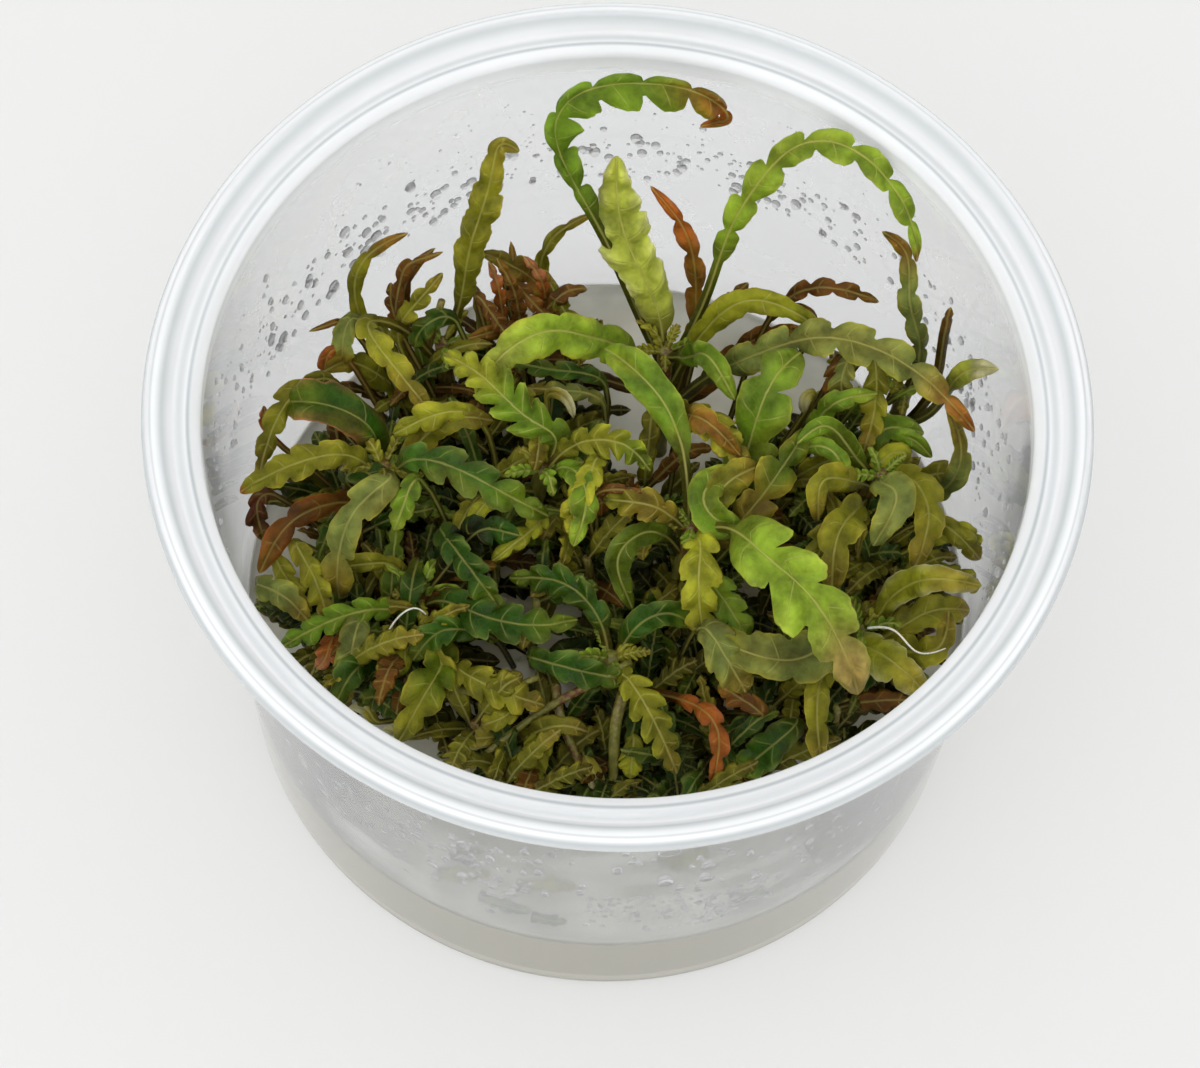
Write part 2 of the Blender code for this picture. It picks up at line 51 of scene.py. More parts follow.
# Cup
RIM_RADIUS = CUP_BOX[1].x / MM
CUP_HEIGHT = CUP_BOX[1].z / MM
MOUTH_RADIUS = 43.9
MOUTH_HEIGHT = CUP_HEIGHT - 2.2
FOOT_RADIUS = 42.4
WALL = 0.9
FLOOR_TOP = 2.0
FLOOR_CORNER_WIDTH = 1.0
FLOOR_CORNER_HEIGHT = 1.3
FOOT_RECESS = 0.8
RIM_THICKNESS = 1.1
CORNER_ROUND = 0.5
CUP_SEGMENTS = 256
# The innermost ring of a turned shape, which a fan of triangles closes
HUB_RADIUS = 0.05
# Painted shade: grey rings in the rim's colour, for the shading lines on its beads: radius, half width and
# strength
PAINTED_RIM_SHADE_RINGS = [(45.2, 0.35, 0.75), (46.1, 0.7, 0.35), (47.9, 0.8, 0.5), (49.0, 0.2, 0.4), (49.8, 0.4, 0.65)]

# Haze of the cup's plastic: in front, behind as a share of that, where the gel wets it, and in the rim
HAZE = 0.09
BACK_HAZE_SHARE = 0.3
WET_HAZE = 0.25
RIM_HAZE = 0.54
# Mist on it: at the sides and behind, then in front and on the rim as shares of that
MIST = 0.24
FRONT_MIST_SHARE = 0.15
RIM_MIST_SHARE = 0.15
# The front turns into the sides between these depths
FRONT_DEPTHS = (-30.0, -10.0)
# The share of the gel's colour in the wet wall is this many times its haze
GEL_TINT = 2.4

# Gel
GEL_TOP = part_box("gel")[1].z / MM
GEL_CLEARANCE = 0.05
MENISCUS = 0.9
MENISCUS_REACH = 0.7
GEL_SWELL = 0.12

# Stems
STEM_RADIUS_FOOT = 1.3
STEM_RADIUS_CROWN = 0.95
STEM_SIDES = 20
STEM_ROWS = 48
NODE_SPACING = 5.0
# From one leaf to the next above it round a stem, in radians
LEAF_TURN = 2.4

# Leaves
STALK_HALF_WIDTH = 0.6
STALK_HALF_THICKNESS = 0.4
STALK_ROWS = 8
BLADE_ROUNDNESS = 0.5
LOBE_SQUARENESS = 2.8
CUT_GAIN = 1.75
QUILTING = 0.32
BLUSH = 0.25
BLADE_FOLD = 0.15
ROWS_A_LOBE = 14
BLADE_SIDES = 28
MARGIN_HALF_THICKNESS = 0.09
SHOOT_DEPTH = 0.4
# Where the blades face, apart from their own roll and tilt: up, and to the front
LIGHT = np.array([0.0, -0.45, 0.89])
# A wave along a leaf starts anywhere in a full turn, in radians
ANY_PHASE = (0, 6.3)

# Seeds of the random draws.  Each leaf, shoot, sprig and fallen leaf adds its number in its table.
LEAF_SEED, SHOOT_SEED, SPRIG_SEED, LITTER_SEED = 100, 300, 500, 700
DROP_SEED, CROWN_SEED, THICKET_SEED, ROOT_SEED = 3, 5, 7, 11

# Light and table, in metres
SKY_STRENGTH = 1.25
LAMP_WATTS = 3.5
LAMP_PLACE = (-0.15, -0.45, 0.85)
LAMP_SIZE = (0.9, 0.7)
TABLE_GLOW = 0.43
TABLE_HALF = 6.0
# The table's face lies this far below the foot, so that the two don't meet
TABLE_GAP = 0.0002
LIGHT_BOUNCES = 8

# Each stem's route from its foot in the gel to its crown
STEMS = {
    "stem_back": [(5, 19, 8), (5, 21, 20), (5, 24, 34)],
    "stem_back_left": [(-18, 20, 8), (-20, 22, 20), (-21, 24, 32)],
    "stem_back_brown": [(-6, 24, 8), (-6, 26, 17), (-5, 28, 27)],
    "stem_left": [(-24, 6, 8), (-26, 5, 22), (-26, 4, 39)],
    "stem_centre_left": [(-7, 7, 8), (-9, 6, 22), (-8, 5, 39)],
    "stem_centre": [(7, -3, 8), (8, -2, 22), (9, -1, 39)],
    "stem_right": [(25, 8, 8), (28, 9, 22), (30, 7, 39)],
    "stem_far_right": [(30, 18, 8), (32, 20, 20), (33, 21, 33)],
    "stem_right_front": [(26, -11, 8), (28, -10, 20), (29, -9, 32)],
    "stem_front": [(2, -13, 8), (1, -15, 20), (1, -15, 33)],
    "stem_front_left": [(-19, -10, 8), (-21, -9, 19), (-21, -8, 31)],
}


def leaf(stem, height, tone, half_widths, lobes, depth, route, stalk=0.18, roll=(0, 0), rise=0.8,
         sweep=0.85, wild=1.0, slender=1.0):
    """One leaf: its stem and how high it leaves it, its tone, its half widths (right, left),
    the lobes along each edge, how deep they are cut, and the route of its midrib.  The stalk
    is a share of the length, and roll turns the blade about the midrib, from foot to tip.  A
    higher rise puts the broadest part nearer the tip, sweep is how far the lobes lean forwards,
    wild is how far the blade tilts, twists and curls by chance, and slender is how thick the
    stalk is, as a share of the usual."""
    return dict(stem=stem, height=height, tone=tone, half_widths=half_widths, lobes=lobes, depth=depth,
                route=route, stalk=stalk, roll=roll, rise=rise, sweep=sweep, wild=wild, slender=slender)


def loose_leaf(half_width, lobes, depth, route, **habits):
    """A leaf with two like halves, and with no stem or tone of its own."""
    return leaf(None, None, None, (half_width, half_width), lobes, depth, route, **habits)


# Leaves that stand on their own, by name
LEAVES = {
    "leaf_arch_back": leaf(
        "stem_back", 31, "olive", (3.0, 1.1), 8, 0.65, stalk=0.34, wild=0.5,
        route=[(1, 28, 37), (-4, 31, 50), (-9, 35, 62), (-6, 37, 67.2), (1, 38, 68.1), (7, 38, 66.5),
               (10, 38, 62), (7, 38, 60)]),
    "leaf_upright_pale": leaf(
        "stem_back", 33, "yellow", (3.0, 3.1), 6, 0.14, stalk=0.08, wild=0.5,
        route=[(4, 27, 36), (2, 29, 41), (-1, 32, 48), (-2, 36, 56)]),
    "leaf_arch_right": leaf(
        "stem_back", 29, "bright", (2.1, 1.9), 8, 0.5, stalk=0.28, wild=0.7,
        route=[(9, 28, 38), (11, 31, 48), (14, 33, 57), (18, 35, 62), (23, 34, 64), (28, 31, 62),
               (31, 28, 58), (32, 26, 54)]),
    "leaf_arched_yellow": leaf(
        "stem_back", 26, "yellow", (1.6, 1.6), 4, 0.15,
        route=[(9, 25, 36), (14, 26, 43), (19, 25, 43), (23, 24, 40)]),
    "leaf_top_green": leaf(
        "stem_back", 33, "bright", (1.8, 1.7), 3, 0.12,
        route=[(8, 20, 40), (10, 17, 45), (13, 13, 43)]),
    "leaf_long_right": leaf(
        "stem_back", 23, "olive", (2.5, 2.3), 8, 0.5, stalk=0.22, wild=0.7,
        route=[(10, 20, 35), (16, 20, 42), (22, 20, 46), (28, 18, 48), (34, 15, 47), (40, 11, 43)]),
    "leaf_bright_top": leaf(
        "stem_centre", 37, "bright", (2.5, 2.5), 2, 0.15, stalk=0.35,
        route=[(8, 4, 42), (6, 10, 44), (2, 14, 46), (-2, 18, 44)]),
    "leaf_brown_olive": leaf(
        "stem_back", 21, "brown", (2.2, 2.0), 4, 0.4, stalk=0.4,
        route=[(6, 16, 33), (7, 12, 41), (10, 9, 45), (14, 6, 43)]),
    "leaf_orange_tip": leaf(
        "stem_back", 18, "brown", (1.4, 1.5), 5, 0.5, stalk=0.25,
        route=[(8, 28, 27), (8, 32, 37), (6, 34, 45), (2, 36, 50)]),
    "leaf_green_curl": leaf(
        "stem_back", 26, "bright", (2.4, 3.0), 4, 0.25, stalk=0.22, wild=0.6,
        route=[(0, 22, 37), (-4, 20, 43), (-9, 18, 47), (-14, 15, 45), (-16, 13, 40)]),
    "leaf_upright_left": leaf(
        "stem_back_left", 30, "olive", (2.1, 2.0), 6, 0.2, wild=0.7,
        route=[(-19, 28, 36), (-18, 31, 43), (-16, 35, 51), (-15, 37, 55), (-13, 37, 54)]),
    "leaf_thin_left": leaf(
        "stem_back_left", 21, "olive", (1.0, 1.1), 3, 0.3, stalk=0.35,
        route=[(-27, 24, 27), (-31, 26, 36), (-30, 28, 43), (-25, 29, 48)]),
    "leaf_olive_left": leaf(
        "stem_back_left", 28, "olive", (1.7, 1.7), 4, 0.5, stalk=0.45,
        route=[(-26, 23, 37), (-29, 20, 42), (-26, 15, 43), (-21, 10, 41)]),
    "leaf_edge_left": leaf(
        "stem_back_left", 17, "olive", (1.9, 1.9), 3, 0.35,
        route=[(-26, 20, 27), (-31, 20, 33), (-34, 17, 36)]),
    "leaf_brown_back": leaf(
        "stem_back_brown", 25, "brown", (1.9, 1.9), 4, 0.5,
        route=[(-8, 30, 31), (-12, 31, 37), (-17, 31, 41)]),
    "leaf_brown_low": leaf(
        "stem_back_brown", 20, "brown", (1.7, 1.7), 4, 0.5,
        route=[(-9, 26, 28), (-13, 25, 34), (-18, 23, 35)]),
    "leaf_dark_round": leaf(
        "stem_left", 33, "dark", (3.0, 3.0), 2, 0.12, stalk=0.2, roll=(-15, -15),
        route=[(-28, 8, 40), (-33, 9, 43), (-38, 10, 41)]),
    "leaf_pale_olive": leaf(
        "stem_left", 36, "olive", (2.0, 2.0), 5, 0.35,
        route=[(-30, 3, 43), (-36, 0, 45), (-41, -3, 44)]),
    "leaf_red_brown": leaf(
        "stem_left", 27, "brown", (1.8, 1.8), 3, 0.4,
        route=[(-31, 1, 35), (-36, -3, 37), (-39, -8, 34)]),
    "leaf_grey_hanging": leaf(
        "stem_left", 38, "olive", (2.4, 2.4), 3, 0.45,
        route=[(-25, 0, 43), (-28, -3, 42), (-30, -7, 37), (-30, -9, 31)]),
    "leaf_blue_green": leaf(
        "stem_left", 35, "dark", (2.5, 2.5), 5, 0.5,
        route=[(-22, 3, 43), (-17, 1, 45), (-12, -1, 44), (-7, -2, 41)]),
    "leaf_pale_pinnate": leaf(
        "stem_centre_left", 37, "yellow", (2.7, 2.5), 7, 0.66, wild=0.5, rise=0.7,
        route=[(-7, 7, 43), (-10, 8, 45), (-15, 12, 46), (-20, 16, 44)]),
    "leaf_hook_green": leaf(
        "stem_centre_left", 36, "bright", (1.9, 1.7), 4, 0.4,
        route=[(-5, 3, 43), (-3, -1, 45), (-4, -5, 40)]),
    "leaf_green_olive": leaf(
        "stem_centre", 35, "olive", (2.3, 2.2), 2, 0.15,
        route=[(11, 1, 41), (13, 3, 43), (16, 5, 43)]),
    "leaf_olive_brown": leaf(
        "stem_centre", 31, "brown", (2.4, 2.4), 4, 0.5,
        route=[(14, 0, 38), (18, 4, 43), (21, 9, 45)]),
    "leaf_lobed_vertical": leaf(
        "stem_centre", 36, "olive", (2.6, 2.6), 4, 0.45,
        route=[(10, -5, 42), (10, -9, 42), (11, -13, 36)]),
    "leaf_hero": leaf(
        "stem_centre", 38, "bright", (4.5, 4.3), 4, 0.45, stalk=0.22, rise=0.62, wild=0.3,
        route=[(13, -3, 43), (17, -8, 47), (22, -13, 48), (26, -18, 45), (28, -21, 41)]),
    "leaf_under_hero": leaf(
        "stem_centre", 30, "dark", (2.1, 2.1), 5, 0.4,
        route=[(11, -6, 36), (14, -11, 38), (17, -14, 34)]),
    "leaf_grey_vertical": leaf(
        "stem_centre", 33, "olive", (1.7, 1.7), 3, 0.15,
        route=[(4, -3, 41), (1, -6, 41), (3, -10, 35)]),
    "leaf_broad_green": leaf(
        "stem_centre", 27, "bright", (3.4, 3.4), 3, 0.4, stalk=0.35,
        route=[(13, 4, 34), (15, 9, 41), (17, 14, 46), (20, 18, 46)]),
    "leaf_grey_round": leaf(
        "stem_right", 38, "olive", (2.2, 2.2), 2, 0.1,
        route=[(30, 3, 44), (31, 0, 47), (29, -4, 43)]),
    "leaf_olive_vertical": leaf(
        "stem_right", 33, "olive", (2.2, 2.2), 4, 0.3,
        route=[(33, 6, 40), (35, 1, 42), (34, -4, 38)]),
    "leaf_olive_mid": leaf(
        "stem_right", 31, "olive", (2.1, 2.1), 3, 0.3,
        route=[(27, 2, 39), (25, -3, 42), (25, -8, 38)]),
    "leaf_right_vertical": leaf(
        "stem_far_right", 31, "dark", (1.3, 1.5), 5, 0.4,
        route=[(34, 23, 40), (32, 25, 47), (31, 28, 52), (28, 29, 55)]),
    "leaf_small_right": leaf(
        "stem_far_right", 26, "bright", (1.4, 1.4), 2, 0.1, stalk=0.5,
        route=[(36, 18, 34), (38, 16, 47), (41, 12, 56)]),
    "leaf_twisted_right": leaf(
        "stem_far_right", 20, "dark", (1.4, 1.4), 3, 0.3, stalk=0.4,
        route=[(35, 13, 25), (38, 9, 33), (39, 11, 38), (37, 15, 41)]),
    "leaf_pale_right": leaf(
        "stem_right_front", 30, "olive", (1.9, 1.9), 3, 0.1,
        route=[(33, -7, 39), (37, -8, 44), (41, -8, 43)]),
    "leaf_low_right": leaf(
        "stem_right_front", 25, "olive", (1.9, 1.9), 4, 0.3,
        route=[(33, -12, 33), (37, -13, 37), (38, -9, 38)]),
    "leaf_yellow_right": leaf(
        "stem_right_front", 28, "yellow", (2.4, 2.4), 3, 0.25,
        route=[(30, -14, 37), (33, -17, 39), (36, -19, 37)]),
    "leaf_olive_hanging": leaf(
        "stem_right_front", 23, "olive", (1.8, 1.8), 3, 0.3, stalk=0.3,
        route=[(26, -14, 31), (24, -18, 36), (24, -22, 35), (25, -25, 30)]),
    "leaf_patterned": leaf(
        "stem_right_front", 26, "olive", (3.1, 2.9), 4, 0.25, wild=0.6,
        route=[(25, -13, 36), (21, -17, 40), (16, -17, 41), (11, -14, 39)]),
    "leaf_yellow_lobed": leaf(
        "stem_front", 30, "yellow", (2.2, 2.2), 6, 0.5, wild=0.7,
        route=[(3, -19, 36), (6, -24, 37), (9, -28, 32)]),
    "leaf_long_dark": leaf(
        "stem_front_left", 29, "dark", (2.4, 2.4), 5, 0.5,
        route=[(-18, -10, 34), (-13, -13, 37), (-7, -14, 38), (-3, -13, 38)]),
    "leaf_dark_upper": leaf(
        "stem_front_left", 30, "dark", (2.3, 2.3), 4, 0.35,
        route=[(-17, -5, 36), (-14, -4, 41), (-10, -5, 42)]),
    "leaf_bright_left": leaf(
        "stem_front_left", 27, "bright", (1.9, 1.9), 5, 0.5,
        route=[(-26, -11, 33), (-31, -13, 33), (-36, -15, 30)]),
    "leaf_front_olive": leaf(
        "stem_front_left", 24, "olive", (2.7, 2.7), 4, 0.35,
        route=[(-18, -15, 30), (-19, -21, 35), (-22, -26, 31)]),
    "leaf_front_dark": leaf(
        "stem_front_left", 21, "dark", (2.0, 2.0), 4, 0.3,
        route=[(-25, -14, 28), (-28, -19, 32), (-30, -23, 29)]),
}

# Small leaves that are one piece with the stem they grow from
SHOOTS = {
    "shoot_brown_erect": leaf(
        "stem_back_left", 25, "brown", (0.9, 0.9), 3, 0.3,
        route=[(-25, 26, 32), (-25, 28, 40), (-22, 29, 45)]),
    "shoot_dim_arc": leaf(
        "stem_back_brown", 22, "olive", (0.9, 0.9), 4, 0.4,
        route=[(-10, 34, 28), (-9, 37, 35), (-4, 38, 40)]),
    "shoot_brown_right": leaf(
        "stem_back", 21, "brown", (1.5, 1.5), 4, 0.4,
        route=[(11, 24, 28), (16, 27, 33), (22, 27, 35)]),
    "shoot_olive_small": leaf(
        "stem_left", 31, "olive", (1.8, 1.8), 3, 0.2,
        route=[(-22, 8, 38), (-18, 9, 42), (-14, 10, 40)]),
    "shoot_yellow_curl": leaf(
        "stem_centre_left", 33, "yellow", (1.1, 1.1), 3, 0.3,
        route=[(-12, 2, 38), (-15, -2, 40), (-16, -5, 35)]),
    "shoot_feather_left": leaf(
        "stem_centre_left", 30, "yellow", (1.5, 1.5), 5, 0.6,
        route=[(-8, 0, 36), (-10, -4, 39), (-13, -6, 37)]),
    "shoot_feather_top": leaf(
        "stem_centre_left", 38, "yellow", (2.0, 2.0), 6, 0.6,
        route=[(-4, 6, 44), (1, 5, 46), (4, 3, 44)]),
    "shoot_yellow_olive": leaf(
        "stem_centre", 38, "yellow", (1.8, 1.8), 4, 0.4,
        route=[(5, -1, 43), (2, -1, 44), (-1, 0, 42)]),
    "shoot_bright_small": leaf(
        "stem_right", 37, "bright", (1.3, 1.3), 2, 0.2,
        route=[(26, 8, 43), (23, 9, 46), (20, 7, 45)]),
    "shoot_small_down": leaf(
        "stem_right", 35, "olive", (1.6, 1.6), 2, 0.2,
        route=[(26, 5, 41), (23, 3, 44), (23, 0, 40)]),
    "shoot_dark_right": leaf(
        "stem_right", 28, "dark", (1.6, 1.6), 2, 0.15,
        route=[(30, 12, 34), (33, 13, 37), (36, 11, 36)]),
    "shoot_twig": leaf(
        "stem_far_right", 24, "brown", (0.5, 0.5), 1, 0.0, stalk=0.9,
        route=[(36, 20, 36), (36, 21, 45), (36, 21, 53)]),
    "shoot_striped": leaf(
        "stem_front", 31, "dark", (1.8, 1.8), 3, 0.15,
        route=[(4, -12, 36), (7, -11, 37), (10, -11, 34)]),
    "shoot_dark_mid": leaf(
        "stem_front", 32, "dark", (2.0, 2.0), 5, 0.45,
        route=[(-1, -11, 36), (-5, -8, 37), (-11, -7, 35)]),
    "shoot_red": leaf(
        "stem_front", 24, "brown", (1.3, 1.3), 4, 0.5, stalk=0.4,
        route=[(8, -18, 30), (13, -23, 34), (13, -28, 29)]),
    "shoot_leaflets": leaf(
        "stem_front_left", 28, "olive", (1.3, 1.3), 3, 0.4,
        route=[(-24, -5, 32), (-28, -6, 34), (-33, -6, 32)]),
}


# Colours, as the eye sees them
PAINTS = {
    "fresh": "#90ac30",
    "lime": "#b4bc48",
    "grass": "#6c8c20",
    "straw": "#b0a236",
    "pale": "#a5a628",
    "olive": "#7e7c1c",
    "moss": "#52640e",
    "drab": "#76661e",
    "sage": "#78823c",
    "deep": "#284a08",
    "bluish": "#3c6018",
    # Painted shadow: a near black, for a leaf that lies in a dark gap between the others
    "painted_shadow": "#141808",
    "tan": "#bda258",
    "bronze": "#82581a",
    "russet": "#6c4219",
    "rust": "#ac5c20",
    "pink": "#b8744c",
    "cream": "#d2cc9c",
    "wine": "#5a2a1c",
    "stalk": "#40340e",
}

# For each tone: the blade, the tip, the share of the blade where the tip's colour sets in, and the margin
TONES = {
    "bright": ("grass", "fresh", 0.6, "lime"),
    "yellow": ("pale", "pale", 0.6, "straw"),
    "olive": ("olive", "drab", 0.6, "straw"),
    "dark": ("deep", "moss", 0.6, "sage"),
    "brown": ("russet", "bronze", 0.6, "bronze"),
    "grey": ("sage", "drab", 0.5, "straw"),
    "cream": ("straw", "cream", 0.4, "cream"),
    "orange": ("rust", "pink", 0.5, "pink"),
    "wine": ("wine", "russet", 0.5, "russet"),
}

# The skin of the tones that have none of their own
SKIN_OF = {"grey": "olive", "cream": "yellow", "orange": "brown", "wine": "brown"}

# The leaves that differ from their tone
LEAF_PAINTS = {
    "leaf_arch_back": ("grass", "rust", 0.6, "fresh"),
    "leaf_upright_pale": ("lime", "lime", 0.5, "cream"),
    "leaf_arch_right": ("fresh", "rust", 0.93, "lime"),
    "leaf_long_right": ("sage", "rust", 0.7, "straw"),
    "leaf_orange_tip": ("bronze", "rust", 0.5, "pink"),
    "leaf_green_curl": ("fresh", "lime", 0.55, "straw"),
    "leaf_pale_pinnate": ("grass", "pale", 0.4, "lime"),
    "leaf_upright_left": ("olive", "straw", 0.7, "straw"),
    "leaf_thin_left": ("olive", "bronze", 0.6, "drab"),
    "leaf_brown_olive": ("olive", "bronze", 0.4, "straw"),
    "leaf_pale_olive": ("olive", "rust", 0.93, "straw"),
    "leaf_red_brown": ("russet", "bronze", 0.7, "rust"),
    "leaf_grey_hanging": ("sage", "drab", 0.5, "straw"),
    "leaf_blue_green": ("bluish", "moss", 0.5, "sage"),
    "leaf_hero": ("fresh", "tan", 0.55, "lime"),
    "leaf_lobed_vertical": ("pale", "olive", 0.6, "straw"),
    "leaf_patterned": ("sage", "olive", 0.6, "straw"),
    "shoot_bright_small": ("moss", "grass", 0.5, "fresh"),
    "shoot_dark_right": ("grass", "moss", 0.6, "sage"),
    "leaf_under_hero": ("grass", "moss", 0.6, "sage"),
    # Painted shade: this leaf is painted near black, for the dark gap where it lies
    "leaf_dark_upper": ("painted_shadow", "deep", 0.6, "deep"),
    "leaf_front_olive": ("moss", "olive", 0.5, "straw"),
    "leaf_yellow_lobed": ("olive", "drab", 0.6, "pale"),
    "leaf_small_right": ("lime", "cream", 0.5, "straw"),
    "leaf_twisted_right": ("sage", "drab", 0.5, "straw"),
    "leaf_brown_back": ("bronze", "drab", 0.5, "straw"),
    "leaf_olive_brown": ("drab", "moss", 0.4, "straw"),
    "leaf_grey_round": ("sage", "sage", 0.5, "straw"),
    "leaf_grey_vertical": ("moss", "moss", 0.5, "sage"),
    "leaf_right_vertical": ("sage", "bronze", 0.6, "straw"),
    "leaf_dark_round": ("deep", "moss", 0.5, "pink"),
    "leaf_yellow_right": ("pale", "straw", 0.5, "cream"),
    "leaf_pale_right": ("pale", "straw", 0.5, "cream"),
    "shoot_feather_top": ("olive", "moss", 0.5, "pale"),
    "shoot_yellow_olive": ("drab", "olive", 0.5, "straw"),
    "leaf_bright_left": ("grass", "grass", 0.5, "fresh"),
    "shoot_red": ("rust", "rust", 0.5, "pink"),
    "shoot_twig": ("russet", "russet", 0.5, "russet"),
}


def linear(colour):
    """A hex colour as linear red, green and blue."""
    value = np.array([int(colour[i:i + 2], 16) for i in (1, 3, 5)]) / 255.0
    return np.where(value > 0.04045, ((value + 0.055) / 1.055) ** 2.4, value / 12.92)


def ease(value, low, high):
    """0 below low and 1 above high, with a smooth rise between them."""
    share = np.clip((value - low) / (high - low), 0.0, 1.0)
    return share * share * (3.0 - 2.0 * share)


def smooth_route(points, samples_a_span=16):
    """The natural cubic spline through the points, with the distance run at each sample."""
    points = np.array(points, float)
    spans = len(points) - 1
    knots = np.concatenate([[0.0], np.cumsum(np.sqrt(np.linalg.norm(np.diff(points, axis=0), axis=1)))])
    gap = np.diff(knots)
    system = np.eye(spans + 1)
    load = np.zeros((spans + 1, 3))
    for i in range(1, spans):
        system[i, i - 1:i + 2] = gap[i - 1], 2 * (gap[i - 1] + gap[i]), gap[i]
        load[i] = 6 * ((points[i + 1] - points[i]) / gap[i] - (points[i] - points[i - 1]) / gap[i - 1])
    bend = np.linalg.solve(system, load)
    place = np.linspace(0.0, knots[-1], samples_a_span * spans + 1)
    span = np.clip(np.searchsorted(knots, place, side="right") - 1, 0, spans - 1)
    after = (place - knots[span])[:, None]
    before = (knots[span + 1] - place)[:, None]
    width = gap[span][:, None]
    curve = (bend[span] * before ** 3 + bend[span + 1] * after ** 3) / (6 * width)
    curve += (points[span] / width - bend[span] * width / 6) * before
    curve += (points[span + 1] / width - bend[span + 1] * width / 6) * after
    run = np.concatenate([[0.0], np.cumsum(np.linalg.norm(np.diff(curve, axis=0), axis=1))])
    return curve, run


def at(route, share):
    """Points at the given shares, from 0 to 1, of a route's length."""
    curve, run = route
    distance = np.clip(share, 0.0, 1.0) * run[-1]
    return np.stack([np.interp(distance, run, curve[:, axis]) for axis in range(3)], axis=-1)


def heading(route, share, reach=0.02):
    """Unit directions of a route at the given shares of its length."""
    step = at(route, share + reach) - at(route, share - reach)
    return step / np.linalg.norm(step, axis=-1, keepdims=True)


def with_ends(rings):
    """Values at the points of rings, then their means over the first and over the last ring."""
    flat = rings.reshape(-1, rings.shape[-1])
    return np.concatenate([flat, rings[:1].mean(1), rings[-1:].mean(1)])


def ring_faces(rows, sides):
    """Quads between neighbouring rings, and a fan to a point at each end, numbered as with_ends does."""
    i = np.arange(sides)
    j = (i + 1) % sides
    row = np.arange(rows - 1)[:, None] * sides
    quads = np.stack([row + i, row + j, row + sides + j, row + sides + i], axis=-1).reshape(-1, 4)
    last = (rows - 1) * sides
    foot = np.stack([j, i, np.full(sides, rows * sides)], axis=-1)
    tip = np.stack([last + i, last + j, np.full(sides, rows * sides + 1)], axis=-1)
    return quads, np.concatenate([foot, tip])


class Shape:
    """Closed surfaces gathered into one mesh: points, faces, and values that patterns read."""

    def __init__(self):
        self.points, self.quads, self.triangles, self.slots, self.values = [], [], [], [], {}
        self.count = 0

    def add(self, rings, slot=0, **values):
        """Add the closed skin over rings of points, turned so that its faces look outwards."""
        rows, sides = rings.shape[:2]
        points = with_ends(rings)
        quads, triangles = ring_faces(rows, sides)
        corners = np.concatenate([triangles, quads[:, :3], quads[:, [0, 2, 3]]])
        a, b, c = (points[corners[:, k]] for k in range(3))
        if np.sum(a * np.cross(b, c)) < 0:
            quads, triangles = quads[:, ::-1], triangles[:, ::-1]
        self.points.append(points)
        self.quads.append(quads + self.count)
        self.triangles.append(triangles + self.count)
        self.slots.append(np.full(len(quads) + len(triangles), slot))
        for name, value in values.items():
            self.values.setdefault(name, []).append(with_ends(value))
        self.count += len(points)

    def piece(self, name, materials, slot):
        """The mesh as a piece of the object, which rides with the cup."""
        quads, triangles = np.concatenate(self.quads), np.concatenate(self.triangles)
        mesh = bpy.data.meshes.new(name)
        mesh.vertices.add(self.count)
        mesh.vertices.foreach_set("co", (np.concatenate(self.points) * MM).astype(np.float32).ravel())
        mesh.loops.add(quads.size + triangles.size)
        mesh.loops.foreach_set("vertex_index", np.concatenate([quads.ravel(), triangles.ravel()]))
        mesh.polygons.add(len(quads) + len(triangles))
        sizes = np.concatenate([np.full(len(quads), 4), np.full(len(triangles), 3)])
        mesh.polygons.foreach_set("loop_start", np.concatenate([[0], np.cumsum(sizes)[:-1]]))
        by_quad = [s[:len(q)] for s, q in zip(self.slots, self.quads)]
        by_triangle = [s[len(q):] for s, q in zip(self.slots, self.quads)]
        mesh.polygons.foreach_set("material_index", np.concatenate(by_quad + by_triangle))
        mesh.update(calc_edges=True)
        mesh.validate()
        for key, parts in self.values.items():
            values = np.concatenate(parts)
            kind, field = ("FLOAT_COLOR", "color") if values.shape[1] == 4 else ("FLOAT_VECTOR", "vector")
            layer = mesh.attributes.new(key, kind, "POINT")
            layer.data.foreach_set(field, values.astype(np.float32).ravel())
        mesh.shade_smooth()
        for material in materials:
            mesh.materials.append(material)
        made = bpy.data.objects.new(name, mesh)
        bpy.context.scene.collection.objects.link(made)
        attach(made, "root")
        return made


def add(tree, kind, inputs=(), **settings):
    """Add a node of a kind, with its settings.  Its inputs come in order, or by name or number, and
    each is a plain value, a socket to link from, or a node whose first live output is linked."""
    made = tree.nodes.new("ShaderNode" + kind)
    for key, value in settings.items():
        setattr(made, key, value)
    given = inputs if isinstance(inputs, dict) else dict(enumerate(inputs))
    for key, value in given.items():
        if isinstance(value, bpy.types.Node):
            value = next(output for output in value.outputs if output.enabled)
        if isinstance(value, bpy.types.NodeSocket):
            tree.links.new(value, made.inputs[key])
        else:
            made.inputs[key].default_value = value
    return made


# A Map Range node with this setting is a ramp with soft ends.  Its inputs are the value, where the
# ramp starts and ends, and what it gives before and after: 0 and 1 where they aren't given.
SMOOTH = {"interpolation_type": "SMOOTHSTEP"}
# A Mix node with this setting blends two colours, its inputs 6 and 7, by the share of the second
COLOURS = {"data_type": "RGBA"}


def new_material(name):
    """An empty material and its node tree."""
    made = bpy.data.materials.new(name)
    made.use_nodes = True
    made.node_tree.nodes.clear()
    return made, made.node_tree


def rgba(colour):
    """A hex colour as a linear colour with full alpha."""
    return (*linear(colour), 1.0)


